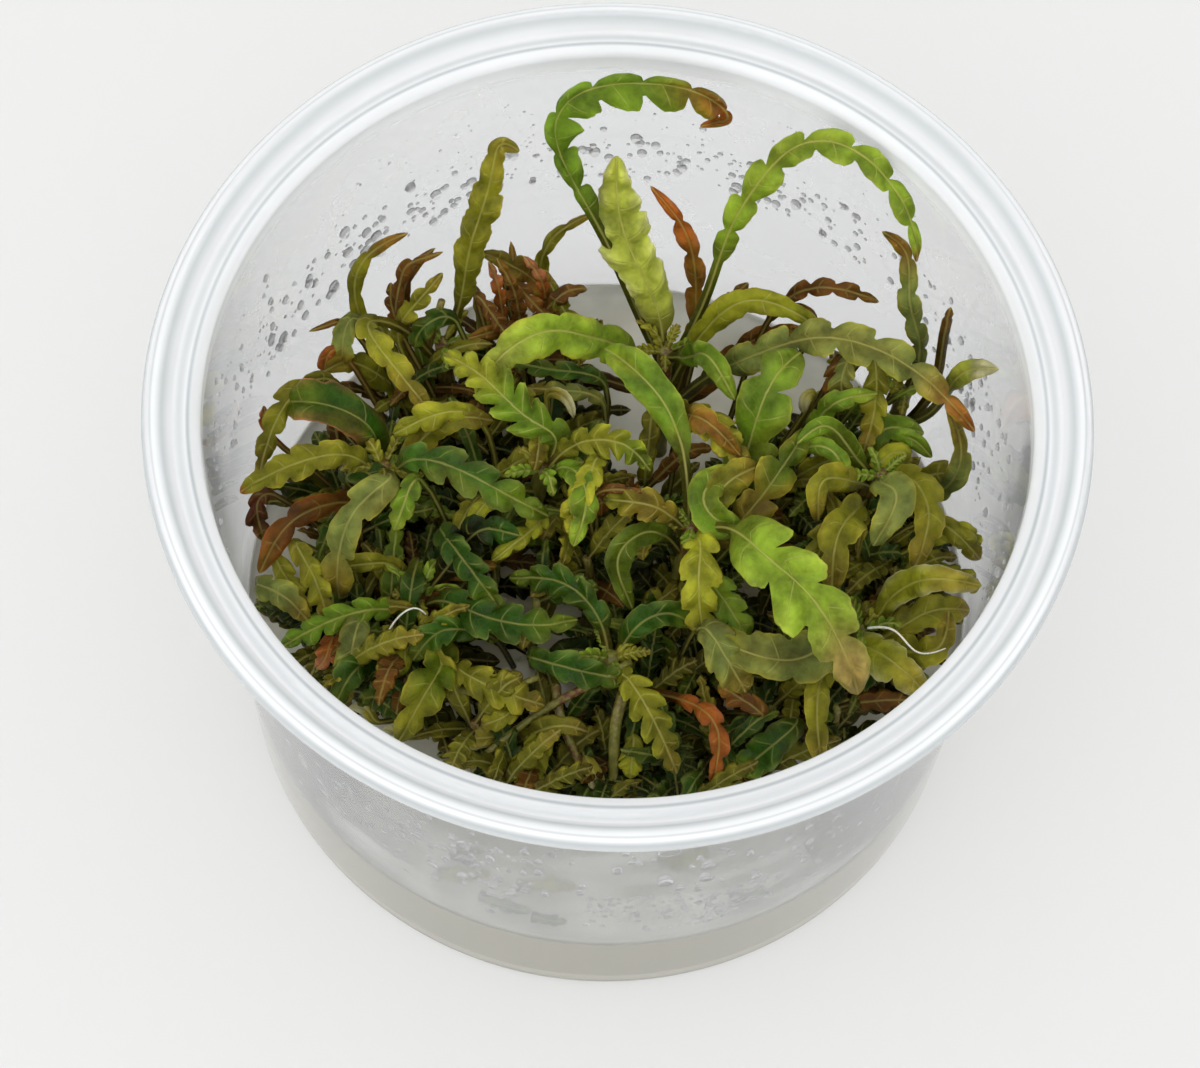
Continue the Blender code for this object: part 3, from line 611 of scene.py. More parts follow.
def leaf_tissue(name, roughness, glow, veins):
    """Living leaf: a waxy, damp skin over green tissue.  The eye sees a soft gloss, paler veins
    and midrib, cells that dimple the skin, and light that glows through the thin blade.  Glow is
    the share of light that does, and veins is how much of their own colour the veins show."""
    made, tree = new_material(name)
    place = add(tree, "TexCoord").outputs["Object"]
    read = {field: add(tree, "Attribute", attribute_name=field) for field in ("blade", "spread", "tint")}
    phase, side, _ = add(tree, "SeparateXYZ", [read["blade"].outputs["Vector"]]).outputs
    lobe_length, half_width, _ = add(tree, "SeparateXYZ", [read["spread"].outputs["Vector"]]).outputs
    tint = read["tint"].outputs["Color"]

    # The midrib, and one side vein to each lobe, which fades towards the margin
    across = add(tree, "Math", [side], operation="ABSOLUTE")
    from_midrib = add(tree, "Math", [across, half_width], operation="MULTIPLY")
    midrib = add(tree, "MapRange", [from_midrib, 0.05, 0.2, 1.0, 0.0], **SMOOTH)
    in_lobe = add(tree, "Math", [phase], operation="FRACT")
    off_crest = add(tree, "Math", [in_lobe, 0.5], operation="SUBTRACT")
    off_vein = add(tree, "Math", [off_crest], operation="ABSOLUTE")
    from_vein = add(tree, "Math", [off_vein, lobe_length], operation="MULTIPLY")
    line = add(tree, "MapRange", [from_vein, 0.03, 0.16, 0.65, 0.0], **SMOOTH)
    reach = add(tree, "MapRange", [across, 0.55, 0.95, 1.0, 0.0], **SMOOTH)
    side_vein = add(tree, "Math", [line, reach], operation="MULTIPLY")
    # Areoles, the cells between the finest veins, are drawn 0.9 mm across
    areoles = add(tree, "TexVoronoi", {"Vector": place, "Scale": 1.0 / (0.9 * MM)},
                  feature="DISTANCE_TO_EDGE")
    network = add(tree, "MapRange", [areoles, 0.02, 0.12, 0.08, 0.0], **SMOOTH)
    large_vein = add(tree, "Math", [midrib, side_vein], operation="MAXIMUM")
    vein = add(tree, "Math", [large_vein, network], operation="MAXIMUM")

    # Patches of deeper and paler tissue, 3 mm and 0.8 mm across
    patches = add(tree, "TexNoise", {"Vector": place, "Scale": 1.0 / (3.0 * MM), "Detail": 3.0})
    freckles = add(tree, "TexNoise", {"Vector": place, "Scale": 1.0 / (0.8 * MM), "Detail": 2.0})
    patch_shade = add(tree, "MapRange", [patches, 0.3, 0.7, 0.6, 1.3], **SMOOTH)
    freckle_shade = add(tree, "MapRange", [freckles, 0.3, 0.7, -0.1, 0.1], **SMOOTH)
    shade = add(tree, "Math", [patch_shade, freckle_shade], operation="ADD")
    toned = add(tree, "VectorMath", {0: tint, "Scale": shade}, operation="SCALE")
    vein_colour = add(tree, "Mix", {0: 0.7, 6: tint, 7: rgba("#c8c06a")}, **COLOURS)
    vein_share = add(tree, "Math", [vein, veins], operation="MULTIPLY")
    colour = add(tree, "Mix", {0: vein_share, 6: toned, 7: vein_colour}, **COLOURS)

    dimples = add(tree, "Math", [areoles, 0.5], operation="MULTIPLY")
    relief = add(tree, "Math", [dimples, vein], operation="SUBTRACT")
    bump = add(tree, "Bump", {"Strength": 0.55, "Distance": 0.25 * MM, "Height": relief})
    gloss = add(tree, "MapRange", [freckles, 0.3, 0.7, roughness - 0.07, roughness + 0.09], **SMOOTH)
    skin = add(tree, "BsdfPrincipled", {"Base Color": colour, "Roughness": gloss, "IOR": 1.35,
                                        "Specular IOR Level": 0.2, "Normal": bump})
    lit_green = add(tree, "Mix", {0: 0.5, 6: colour, 7: rgba("#b4c41e")}, **COLOURS)
    through = add(tree, "BsdfTranslucent", {"Color": lit_green, "Normal": bump})
    both = add(tree, "MixShader", [glow, skin, through])
    add(tree, "OutputMaterial", {"Surface": both})
    return made


def stem_tissue():
    """Living stem: smooth, damp skin, olive to wine red, with fine lengthwise streaks."""
    made, tree = new_material("hygrophila_stem_skin")
    place = add(tree, "TexCoord").outputs["Object"]
    # Streaks half a millimetre wide and five times as long, and zones of colour 7 mm across
    stretched = add(tree, "Mapping", {"Vector": place, "Scale": (1.0, 1.0, 0.2)})
    streaks = add(tree, "TexNoise", {"Vector": stretched, "Scale": 1.0 / (0.5 * MM), "Detail": 3.0})
    zones = add(tree, "TexNoise", {"Vector": place, "Scale": 1.0 / (7.0 * MM)})
    reddened = add(tree, "MapRange", [zones, 0.42, 0.6], **SMOOTH)
    base = add(tree, "Mix", {0: reddened, 6: rgba("#5f5c22"), 7: rgba("#5a2a18")}, **COLOURS)
    streaked = add(tree, "MapRange", [streaks, 0.35, 0.7], **SMOOTH)
    colour = add(tree, "Mix", {0: streaked, 6: base, 7: rgba("#7c7a35")}, **COLOURS)
    bump = add(tree, "Bump", {"Strength": 0.4, "Distance": 0.1 * MM, "Height": streaks})
    skin = add(tree, "BsdfPrincipled", {"Base Color": colour, "Roughness": 0.38, "IOR": 1.42,
                                        "Normal": bump})
    add(tree, "OutputMaterial", {"Surface": skin})
    return made


def root_tissue():
    """Young root: white, slightly see-through, with a fine fuzz 0.3 mm across that softens its edge."""
    made, tree = new_material("white_root")
    place = add(tree, "TexCoord").outputs["Object"]
    fuzz = add(tree, "TexNoise", {"Vector": place, "Scale": 1.0 / (0.3 * MM), "Detail": 2.0})
    fuzzy = add(tree, "MapRange", [fuzz, 0.3, 0.7], **SMOOTH)
    colour = add(tree, "Mix", {0: fuzzy, 6: rgba("#d8d2bd"), 7: rgba("#f2efe4")}, **COLOURS)
    skin = add(tree, "BsdfPrincipled", {"Base Color": colour, "Roughness": 0.5, "IOR": 1.4,
                                        "Subsurface Weight": 0.3, "Subsurface Scale": 0.4 * MM})
    add(tree, "OutputMaterial", {"Surface": skin})
    return made


def polypropylene():
    """Clear polypropylene, injection moulded: slightly milky, more so where the rim is thick.
    A mist too fine to see as drops whitens it in soft patches, and where the gel wets it inside,
    the wall takes on the gel's colour."""
    made, tree = new_material("clear_polypropylene")
    place = add(tree, "TexCoord").outputs["Object"]
    x, y, height = add(tree, "SeparateXYZ", [place]).outputs
    squares = [add(tree, "Math", [along, 2.0], operation="POWER") for along in (x, y)]
    radius = add(tree, "Math", [add(tree, "Math", squares, operation="ADD")], operation="SQRT")
    front, behind = (depth * MM for depth in FRONT_DEPTHS)
    rim = add(tree, "MapRange", [height, (MOUTH_HEIGHT - 3.5) * MM, (MOUTH_HEIGHT - 1.5) * MM], **SMOOTH)

    # Soft patches of mist, about 9 mm across, that set in above the gel
    patches = add(tree, "TexNoise", {"Vector": place, "Scale": 1.0 / (9.0 * MM), "Detail": 4.0})
    patchy = add(tree, "MapRange", [patches, 0.3, 0.7, 0.75, 1.0], **SMOOTH)
    above_gel = add(tree, "MapRange", [height, GEL_TOP * MM, (GEL_TOP + 9.0) * MM], **SMOOTH)
    misted = add(tree, "Math", [patchy, above_gel], operation="MULTIPLY")
    # The mist dulls the outer skin, which lies outside the middle of the leaning wall
    slope = (wall_radius(MOUTH_HEIGHT) - wall_radius(GEL_TOP)) / (MOUTH_HEIGHT - GEL_TOP)
    middle = wall_radius(GEL_TOP) - slope * GEL_TOP + 0.5 * WALL
    lean = add(tree, "Math", [height, slope], operation="MULTIPLY")
    upright = add(tree, "Math", [radius, lean], operation="SUBTRACT")
    outer = add(tree, "MapRange", [upright, (middle - 0.2) * MM, (middle + 0.2) * MM], **SMOOTH)
    # The sides and the back are the mistiest
    most = add(tree, "MapRange", [y, front, behind, FRONT_MIST_SHARE * MIST, MIST], **SMOOTH)
    mist_here = add(tree, "Math", [misted, most], operation="MULTIPLY")
    on_skin = add(tree, "Math", [mist_here, outer], operation="MULTIPLY")
    off_rim = add(tree, "MapRange", [rim, 0.0, 1.0, 1.0, RIM_MIST_SHARE], **SMOOTH)
    veil = add(tree, "Math", [on_skin, off_rim], operation="MULTIPLY")

    # How clear it is: a little less in front, less where the gel wets it, and least in the rim
    wall = add(tree, "MapRange", [y, front, behind, 1.0 - HAZE, 1.0 - BACK_HAZE_SHARE * HAZE], **SMOOTH)
    wet = add(tree, "MapRange", [height, (GEL_TOP - 1.0) * MM, (GEL_TOP - 0.3) * MM, WET_HAZE, 0.0],
              **SMOOTH)
    above = add(tree, "Math", [wall, wet], operation="SUBTRACT")
    thick = add(tree, "Math", [rim, RIM_HAZE], operation="MULTIPLY")
    clear = add(tree, "Math", [above, thick], operation="SUBTRACT")

    # Painted shade: grey rings in the rim's colour stand for the shading lines on its beads and steps
    grey = 0.0
    for ring, half, depth in PAINTED_RIM_SHADE_RINGS:
        away = add(tree, "Math", [radius, ring * MM], operation="SUBTRACT")
        away = add(tree, "Math", [away], operation="ABSOLUTE")
        shade = add(tree, "MapRange", [away, 0.0, half * MM, depth, 0.0], **SMOOTH)
        grey = add(tree, "Math", [grey, shade], operation="MAXIMUM")
    gel_share = add(tree, "Math", [wet, GEL_TINT], operation="MULTIPLY")
    plain = add(tree, "Mix", {0: gel_share, 6: rgba("#fbfcfd"), 7: rgba("#b4ad8c")}, **COLOURS)
    # The painted shade rings grey the rim's colour
    painted_ring_share = add(tree, "Math", [grey, rim], operation="MULTIPLY")
    colour = add(tree, "Mix", {0: painted_ring_share, 6: plain, 7: rgba("#b4bdc0")}, **COLOURS)

    # Flow lines of the moulding, 14 mm apart, swell the skin by up to a tenth of a millimetre
    swell = add(tree, "TexNoise", {"Vector": place, "Scale": 1.0 / (14.0 * MM), "Detail": 1.0})
    bump = add(tree, "Bump", {"Strength": 0.25, "Distance": 0.4 * MM, "Height": swell})
    plastic = add(tree, "BsdfPrincipled", {"Base Color": colour, "Roughness": 0.04, "IOR": 1.38,
                                           "Transmission Weight": clear, "Normal": bump})
    milk = add(tree, "BsdfTranslucent", {"Color": colour})
    both = add(tree, "MixShader", [veil, plastic, milk])
    add(tree, "OutputMaterial", {"Surface": both})
    return made


def agar_gel():
    """Nutrient agar: a clear, faintly yellow jelly with a smooth wet skin, and clouds 8 mm across."""
    made, tree = new_material("nutrient_agar_gel")
    place = add(tree, "TexCoord").outputs["Object"]
    clouds = add(tree, "TexNoise", {"Vector": place, "Scale": 1.0 / (8.0 * MM), "Detail": 3.0})
    # Its top skin scatters light, and lies above the clearer body
    height = add(tree, "SeparateXYZ", [place]).outputs[2]
    skin = add(tree, "MapRange", [height, (GEL_TOP - 1.4) * MM, (GEL_TOP - 0.7) * MM], **SMOOTH)
    cloudy = add(tree, "MapRange", [clouds, 0.4, 0.7], **SMOOTH)
    body = add(tree, "Mix", {0: cloudy, 6: rgba("#c8c295"), 7: rgba("#a89a58")}, **COLOURS)
    colour = add(tree, "Mix", {0: skin, 6: body, 7: rgba("#f6f4e6")}, **COLOURS)
    clear_body = add(tree, "MapRange", [clouds, 0.35, 0.7, 0.65, 0.4], **SMOOTH)
    clear_skin = add(tree, "MapRange", [skin, 0.0, 1.0, 1.0, 0.6], **SMOOTH)
    clear = add(tree, "Math", [clear_body, clear_skin], operation="MULTIPLY")
    bump = add(tree, "Bump", {"Strength": 0.3, "Distance": 0.5 * MM, "Height": clouds})
    jelly = add(tree, "BsdfPrincipled", {"Base Color": colour, "Roughness": 0.08, "IOR": 1.34,
                                         "Transmission Weight": clear, "Normal": bump})
    depth = add(tree, "VolumeAbsorption", {"Color": rgba("#e0dfc0"), "Density": 55.0})
    add(tree, "OutputMaterial", {"Surface": jelly, "Volume": depth})
    return made


def clear_water():
    """Water condensed on the wall: clear, smooth drops.  A little white in them stands for the
    glints of their edges, which are too fine to show."""
    made, tree = new_material("condensed_water")
    drop = add(tree, "BsdfPrincipled", {"Base Color": rgba("#ffffff"), "Roughness": 0.02, "IOR": 1.33,
                                        "Transmission Weight": 0.86})
    add(tree, "OutputMaterial", {"Surface": drop})
    return made


def board():
    """The table: matt opal acrylic, lit faintly from below as a product table is."""
    made, tree = new_material("opal_acrylic")
    place = add(tree, "TexCoord").outputs["Object"]
    # A peel as fine as 1 mm on the cast surface
    peel = add(tree, "TexNoise", {"Vector": place, "Scale": 1.0 / (1.0 * MM), "Detail": 2.0})
    bump = add(tree, "Bump", {"Strength": 0.1, "Distance": 0.05 * MM, "Height": peel})
    top = add(tree, "BsdfPrincipled", {"Base Color": rgba("#9b9b99"), "Roughness": 0.6, "Normal": bump,
                                       "Emission Color": rgba("#ffffff"), "Emission Strength": TABLE_GLOW})
    add(tree, "OutputMaterial", {"Surface": top})
    return made


def rounded(profile, corner):
    """A profile whose corners are rounded: each gives way to a curve that starts and ends at most
    corner away from it, or at 0.45 of a shorter side."""
    profile = np.array(profile, float)
    before, here, after = profile[:-2], profile[1:-1], profile[2:]
    back, on = before - here, after - here
    back_length = np.linalg.norm(back, axis=1, keepdims=True)
    on_length = np.linalg.norm(on, axis=1, keepdims=True)
    start = here + back * np.minimum(corner / back_length, 0.45)
    end = here + on * np.minimum(corner / on_length, 0.45)
    t = np.linspace(0.0, 1.0, 6)[None, :, None]
    curves = start[:, None] * (1 - t) ** 2 + 2 * here[:, None] * t * (1 - t) + end[:, None] * t ** 2
    return np.concatenate([profile[:1], curves.reshape(-1, 2), profile[-1:]])


def wall_radius(height):
    """The cup's inner radius, which widens evenly from the floor to the mouth."""
    foot = FOOT_RADIUS - WALL
    return foot + (MOUTH_RADIUS - foot) * (height - FLOOR_TOP) / (MOUTH_HEIGHT - FLOOR_TOP)


def turned(profile, segments):
    """Rings about Z, one for each radius and height of a profile."""
    turn = np.linspace(0.0, 2 * np.pi, segments, endpoint=False)
    radius = profile[:, :1]
    height = np.broadcast_to(profile[:, 1:], (len(profile), segments))
    return np.stack([radius * np.cos(turn), radius * np.sin(turn), height], axis=-1)


def make_cup():
    """The cup: a ring foot, a wall that leans out a little, and a rim of two rounded beads."""
    outside = [
        (HUB_RADIUS, FOOT_RECESS),
        (FOOT_RADIUS - 3.6, FOOT_RECESS),
        (FOOT_RADIUS - 2.9, 0.0),
        (FOOT_RADIUS - 1.0, 0.0),
        (FOOT_RADIUS, 1.2),
        (MOUTH_RADIUS + WALL - 0.1, MOUTH_HEIGHT - 2.4),
        (MOUTH_RADIUS + WALL + 0.5, MOUTH_HEIGHT - 0.9),
        (RIM_RADIUS - 3.1, CUP_HEIGHT - 3.2),
        (RIM_RADIUS - 1.9, CUP_HEIGHT - RIM_THICKNESS - 0.1),
        (RIM_RADIUS - 0.9, CUP_HEIGHT - RIM_THICKNESS - 0.2),
        (RIM_RADIUS - 0.7, CUP_HEIGHT - 1.9),
        (RIM_RADIUS, CUP_HEIGHT - 1.8),
    ]
    inside = [
        (RIM_RADIUS, CUP_HEIGHT - 0.7),
        (RIM_RADIUS - 0.6, CUP_HEIGHT),
        (RIM_RADIUS - 1.9, CUP_HEIGHT),
        (RIM_RADIUS - 3.3, CUP_HEIGHT - 2.0),
        (MOUTH_RADIUS + 1.3, MOUTH_HEIGHT + 0.7),
        (MOUTH_RADIUS, MOUTH_HEIGHT),
        (wall_radius(FLOOR_TOP + FLOOR_CORNER_HEIGHT), FLOOR_TOP + FLOOR_CORNER_HEIGHT),
        (wall_radius(FLOOR_TOP) - FLOOR_CORNER_WIDTH, FLOOR_TOP),
        (HUB_RADIUS, FLOOR_TOP),
    ]
    shape = Shape()
    shape.add(turned(rounded(outside + inside, CORNER_ROUND), CUP_SEGMENTS))
    cup = shape.piece("clear_cup", [polypropylene()], "cup_plastic")
    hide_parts("cup")


def make_gel():
    """The gel: a low disc that meets the wall in a shallow upward curve.  The curve falls away from
    the wall as e to the minus distance over its reach, and crossed sine waves swell the rest."""
    floor = FLOOR_TOP + GEL_CLEARANCE
    edge = wall_radius(GEL_TOP) - GEL_CLEARANCE
    radii = edge - np.array([0.0, 0.25, 0.6, 1.1, 1.8, 2.8, 4.5, 7.0,
                             11.0, 16.0, 22.0, 28.0, 34.0, 38.0, 41.0, 42.5])
    top = np.stack([radii, GEL_TOP - MENISCUS * (1.0 - np.exp(-(edge - radii) / MENISCUS_REACH))], axis=-1)
    low = [
        (HUB_RADIUS, floor),
        (wall_radius(FLOOR_TOP) - FLOOR_CORNER_WIDTH - GEL_CLEARANCE, floor),
        (wall_radius(floor + FLOOR_CORNER_HEIGHT) - GEL_CLEARANCE, floor + FLOOR_CORNER_HEIGHT),
    ]
    wall = [(wall_radius(h) - GEL_CLEARANCE, h) for h in np.linspace(floor + 3.0, GEL_TOP - 0.3, 6)]
    rings = turned(np.concatenate([low, wall, top]), CUP_SEGMENTS)
    on_top = rings[..., 2] > GEL_TOP - MENISCUS - 0.2
    x, y = rings[..., 0], rings[..., 1]
    swell = GEL_SWELL * np.sin(x / 4.1 + np.cos(y / 5.3)) * np.cos(y / 4.7 - np.sin(x / 6.1))
    rings[..., 2] += np.where(on_top, swell * ease(edge - np.hypot(x, y), 0.5, 4.0), 0.0)
    shape = Shape()
    shape.add(rings)
    gel = shape.piece("nutrient_gel", [agar_gel()], "agar_gel")
    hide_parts("gel")


# Bands of drops on the wall: from and to which angle about Z, how low and high, how many, and their radii
DROP_BANDS = [
    (60, 118, 40, 49, 150, 0.18, 0.75),
    (118, 160, 38, 48, 110, 0.2, 0.85),
    (20, 60, 38, 49, 90, 0.18, 0.6),
    (155, 185, 40, 56, 80, 0.15, 0.55),
    (-12, 22, 30, 50, 90, 0.15, 0.6),
    (40, 140, 47, 58, 150, 0.08, 0.22),
    (190, 350, 20, 52, 420, 0.1, 0.55),
    (225, 262, 27, 38, 60, 0.2, 0.8),
    (270, 284, 24, 33, 120, 0.16, 0.4),
    (284, 297, 20, 31, 130, 0.16, 0.45),
    (240, 262, 34, 44, 50, 0.2, 0.5),
    (300, 330, 30, 48, 50, 0.15, 0.5),
]
# The largest drops: angle about Z, height, and half the width and height
LARGE_DROPS = [
    (252, 41, 0.75, 1.4), (274, 42, 0.65, 1.2), (281, 37, 0.95, 1.3), (287, 40, 0.85, 0.9),
    (287, 36, 0.85, 0.9), (286, 33, 0.5, 0.9), (281, 47, 1.3, 0.9), (222, 31, 0.9, 2.2),
    (233, 38, 0.5, 1.1), (236, 30, 0.5, 1.2), (240, 35, 0.5, 0.9), (242, 35, 0.5, 0.9),
    (245, 41, 0.45, 0.9), (247, 46, 0.45, 0.9), (249, 34, 0.5, 1.0), (256, 40, 0.55, 0.9),
    (261, 45, 0.55, 0.9), (265, 46, 0.45, 0.9), (263, 39, 0.55, 0.9), (261, 32, 0.5, 0.9),
    (264, 32, 0.45, 0.8), (269, 34, 0.5, 0.9), (293, 41, 0.5, 1.0), (295, 32, 0.65, 1.2),
    (298, 22, 0.55, 1.2), (299, 41, 0.5, 1.0), (302, 42, 0.5, 1.0), (303, 36, 0.5, 1.0),
    (303, 30, 0.5, 1.1), (307, 40, 0.5, 1.0), (320, 34, 0.5, 1.3),
    (157, 43, 0.6, 1.1), (149, 42, 0.6, 0.8), (156, 45, 0.5, 0.7), (126, 43, 0.6, 0.6),
    (124, 42, 0.5, 0.5), (118, 41, 0.5, 0.5), (111, 45, 0.5, 0.5), (95, 50, 0.45, 0.45),
    (80, 52, 0.45, 0.45), (82, 45, 0.5, 0.5), (63, 45, 0.5, 0.5), (54, 41, 0.5, 0.5),
    (178, 50, 0.4, 0.6), (175, 57, 0.4, 0.6), (166, 48, 0.45, 0.7), (142, 46, 0.5, 0.6),
    (134, 42, 0.5, 0.6), (4, 43, 0.4, 0.8), (15, 40, 0.4, 0.7), (33, 50, 0.4, 0.6),
]
DROP_FLATNESS = 0.85
DROP_SIDES = 10
# A drop's foot is sunk this far into the wall, so that no gap shows
DROP_SINK = 0.04
# How much less a drop bulges at its top than in its middle, and more at its bottom
DROP_SAG = 0.15


def make_drops():
    """Drops of condensation: flattened domes on the inner wall, drawn down a little by their weight.
    The large ones have a place of their own, and the rest fall by chance within their bands."""
    rng = np.random.default_rng(DROP_SEED)
    # The rings of a dome: how far each rises, and how far it reaches to the side
    rise = np.array([0.0, 0.02, 0.35, 0.66, 0.88])
    reach = np.sqrt(1.0 - rise ** 2) * np.array([0.97, 1.0, 1.0, 1.0, 1.0])
    turn = np.linspace(0.0, 2 * np.pi, DROP_SIDES, endpoint=False)
    side, up = np.cos(turn) * reach[:, None], np.sin(turn) * reach[:, None]
    drops = list(LARGE_DROPS)
    for start, end, low, high, count, least, most in DROP_BANDS:
        for _ in range(count):
            size = least + (most - least) * rng.random() ** 3
            angle, height = rng.uniform(start, end), rng.uniform(low, high)
            drops.append((angle, height, size, size * rng.uniform(1.0, 1.3)))
    shape = Shape()
    for angle, height, half_width, half_height in drops:
        turned_by = np.radians(angle)
        outward = np.array([np.cos(turned_by), np.sin(turned_by), 0.0])
        along = np.array([-np.sin(turned_by), np.cos(turned_by), 0.0])
        tall = rise[:, None] * DROP_FLATNESS * (1.0 - DROP_SAG * up)
        radius = wall_radius(height + half_height * up) + DROP_SINK
        rings = (outward * (radius - half_width * tall)[..., None] + along * half_width * side[..., None]
                 + np.array([0.0, 0.0, 1.0]) * (height + half_height * up[..., None]))
        shape.add(rings)
    shape.piece("condensation", [clear_water()], "cup_plastic")


def stem_surface(name):
    """Rings round a stem's route.  It tapers evenly upwards, and swells a little at each node, by a
    high power of a cosine."""
    route = smooth_route(STEMS[name])
    share = np.linspace(0.0, 1.0, STEM_ROWS)
    radius = STEM_RADIUS_FOOT + (STEM_RADIUS_CROWN - STEM_RADIUS_FOOT) * share
    knots = np.cos(2 * np.pi * share * route[1][-1] / NODE_SPACING) ** 12
    radius = radius * (0.93 + 0.07 * knots)
    turn = np.linspace(0.0, 2 * np.pi, STEM_SIDES, endpoint=False)
    ring = np.stack([np.cos(turn), np.sin(turn), np.zeros(STEM_SIDES)], axis=-1)
    return at(route, share)[:, None] + radius[:, None, None] * ring


def tube(points, foot_radius, tip_radius, rows=24, sides=8):
    """Rings round a smooth route through the points, square to it, from one radius to another."""
    route = smooth_route(points)
    share = np.linspace(0.0, 1.0, rows)
    along = heading(route, share)
    across = np.cross(along, LIGHT)
    across /= np.linalg.norm(across, axis=-1, keepdims=True)
    facing = np.cross(across, along)
    turn = np.linspace(0.0, 2 * np.pi, sides, endpoint=False)[None, :, None]
    radius = (foot_radius + (tip_radius - foot_radius) * share)[:, None, None]
    ring = across[:, None] * np.cos(turn) + facing[:, None] * np.sin(turn)
    return at(route, share)[:, None] + radius * ring


def make_pieces(prefix, by_skin, tissues):
    """One piece for each leaf tissue, from the shape gathered for it."""
    for skin, shape in by_skin.items():
        shape.piece(prefix + skin, [tissues[skin]], "leaf_" + skin)


def leaf_root(shape):
    """Where a leaf's stalk begins, just inside its stem."""
    stem = smooth_route(STEMS[shape["stem"]])
    height = np.interp(shape["height"], stem[0][:, 2], stem[1] / stem[1][-1])
    root = at(stem, height)
    outward = np.array(shape["route"][0], float) - root
    outward[2] = 0.0
    outward /= np.linalg.norm(outward)
    radius = STEM_RADIUS_FOOT + (STEM_RADIUS_CROWN - STEM_RADIUS_FOOT) * height
    return root + outward * (radius - SHOOT_DEPTH)


def half_width(grown, widest, shape, phase, rng):
    """Half the blade's width: a rounded envelope, cut in between rounded lobes of unlike size.
    A lobe is half a superellipse, and the last one rounds off the tip."""
    lobes = shape["lobes"]
    envelope = np.sin(np.pi * grown ** shape["rise"]) ** BLADE_ROUNDNESS
    lobe = (1.0 - np.abs(2.0 * (phase - np.floor(phase)) - 1.0) ** LOBE_SQUARENESS) ** 0.5
    lobe = np.where(phase > lobes - 0.5, 1.0, lobe)
    size = rng.uniform(0.8, 1.1, lobes + 2)[np.floor(phase).astype(int) % (lobes + 2)]
    ripple = 0.035 * np.sin(9.0 * phase + rng.uniform(*ANY_PHASE))
    ripple = ripple + 0.025 * np.sin(21.0 * phase + rng.uniform(*ANY_PHASE))
    cut = min(shape["depth"] * CUT_GAIN, 0.9)
    return widest * envelope * (1.0 - cut + cut * lobe) * (1.0 + (size - 1.0) * lobe + ripple * lobe)


def leaf_surface(shape, root, paints, rng, rows_a_lobe=ROWS_A_LOBE, sides=BLADE_SIDES,
                 stalk_rows=STALK_ROWS):
    """Rings round a leaf, with the values that its pattern reads.

    A row of points crosses the midrib, and its ends lean forwards along the midrib, as the side
    veins do.  A point lies cos(turn) times the half width to the side, and sin(turn) times the
    half thickness above or below.  The sheet is raised by a fold along the midrib, by a wave
    along each margin, and by a bulge between the side veins.
    """
    route = smooth_route([root] + shape["route"])
    length, stalk, lobes, wild = route[1][-1], shape["stalk"], shape["lobes"], shape["wild"]
    share = np.concatenate([np.linspace(0.0, stalk, stalk_rows, endpoint=False),
                            np.linspace(stalk, 0.999, rows_a_lobe * lobes)])[:, None]
    grown = np.clip((share - stalk) / (1.0 - stalk), 0.0, 1.0)
    turn = np.linspace(0.0, 2 * np.pi, sides, endpoint=False)[None, :]
    across, upper = np.cos(turn), np.sin(turn)
    phases = lobes * grown + rng.uniform(-0.22, 0.22, 2)[:, None, None] * 4.0 * grown * (1.0 - grown)
    widths = [half_width(grown, shape["half_widths"][k], shape, phases[k], rng) for k in (0, 1)]
    neck = STALK_HALF_WIDTH * shape["slender"] * (1.0 - 0.8 * ease(grown, 0.0, 0.3))
    neck = neck * np.sqrt(1.0 - grown ** 8)
    right = across > 0
    reach = np.where(right, np.maximum(widths[0], neck), np.maximum(widths[1], neck))
    phase = np.where(right, phases[0], phases[1])
    side = reach * np.abs(across)
    widest = max(shape["half_widths"])
    blade = ease(grown, 0.0, 0.2)

    fold = BLADE_FOLD + wild * rng.uniform(-0.08, 0.2)
    droop = wild * rng.uniform(-0.05, 0.22) / widest
    wave = wild * rng.uniform(0.1, 0.3) * widest
    swing = np.where(right, rng.uniform(0, 2 * np.pi), rng.uniform(0, 2 * np.pi))
    lift = fold * side - droop * side ** 2 + wave * (side / widest) ** 2 * np.sin(np.pi * phase + swing)
    bulge = QUILTING * widest * np.sin(np.pi * np.abs(across)) * (0.5 - 0.5 * np.cos(2 * np.pi * phase))
    rib = STALK_HALF_THICKNESS * shape["slender"] - MARGIN_HALF_THICKNESS
    rib = rib * (1.0 - 0.6 * ease(grown, 0.0, 1.0))
    thick = (MARGIN_HALF_THICKNESS + rib * np.exp(-(side / 0.5) ** 2)) * np.sqrt(1.0 - 0.9 * grown ** 10)

    here = share + blade * shape["sweep"] * side / length * (1.0 - grown ** 3)
    along = heading(route, here)
    sideways = np.cross(along, LIGHT)
    sideways /= np.linalg.norm(sideways, axis=-1, keepdims=True)
    facing = np.cross(sideways, along)
    tilt, twist = wild * rng.uniform(-20, 20), wild * rng.uniform(-30, 30)
    roll = np.interp(share, [0, 1], shape["roll"]) + blade * (tilt + twist * (grown - 0.4))
    roll = np.radians(roll)[..., None]
    sideways, facing = (sideways * np.cos(roll) + facing * np.sin(roll),
                        facing * np.cos(roll) - sideways * np.sin(roll))
    height = blade * (lift + bulge) + thick * upper
    rings = at(route, here) + sideways * (reach * across)[..., None] + facing * height[..., None]

    flat = np.ones_like(reach)
    values = dict(
        tint=leaf_tint(paints, share, grown, stalk, across, upper, blade, phase, rng),
        blade=np.stack([phase * flat, across * flat, (upper > 0) * flat], axis=-1),
        spread=np.stack([flat * length * (1.0 - stalk) / lobes, reach, grown * flat], axis=-1))
    return rings, values


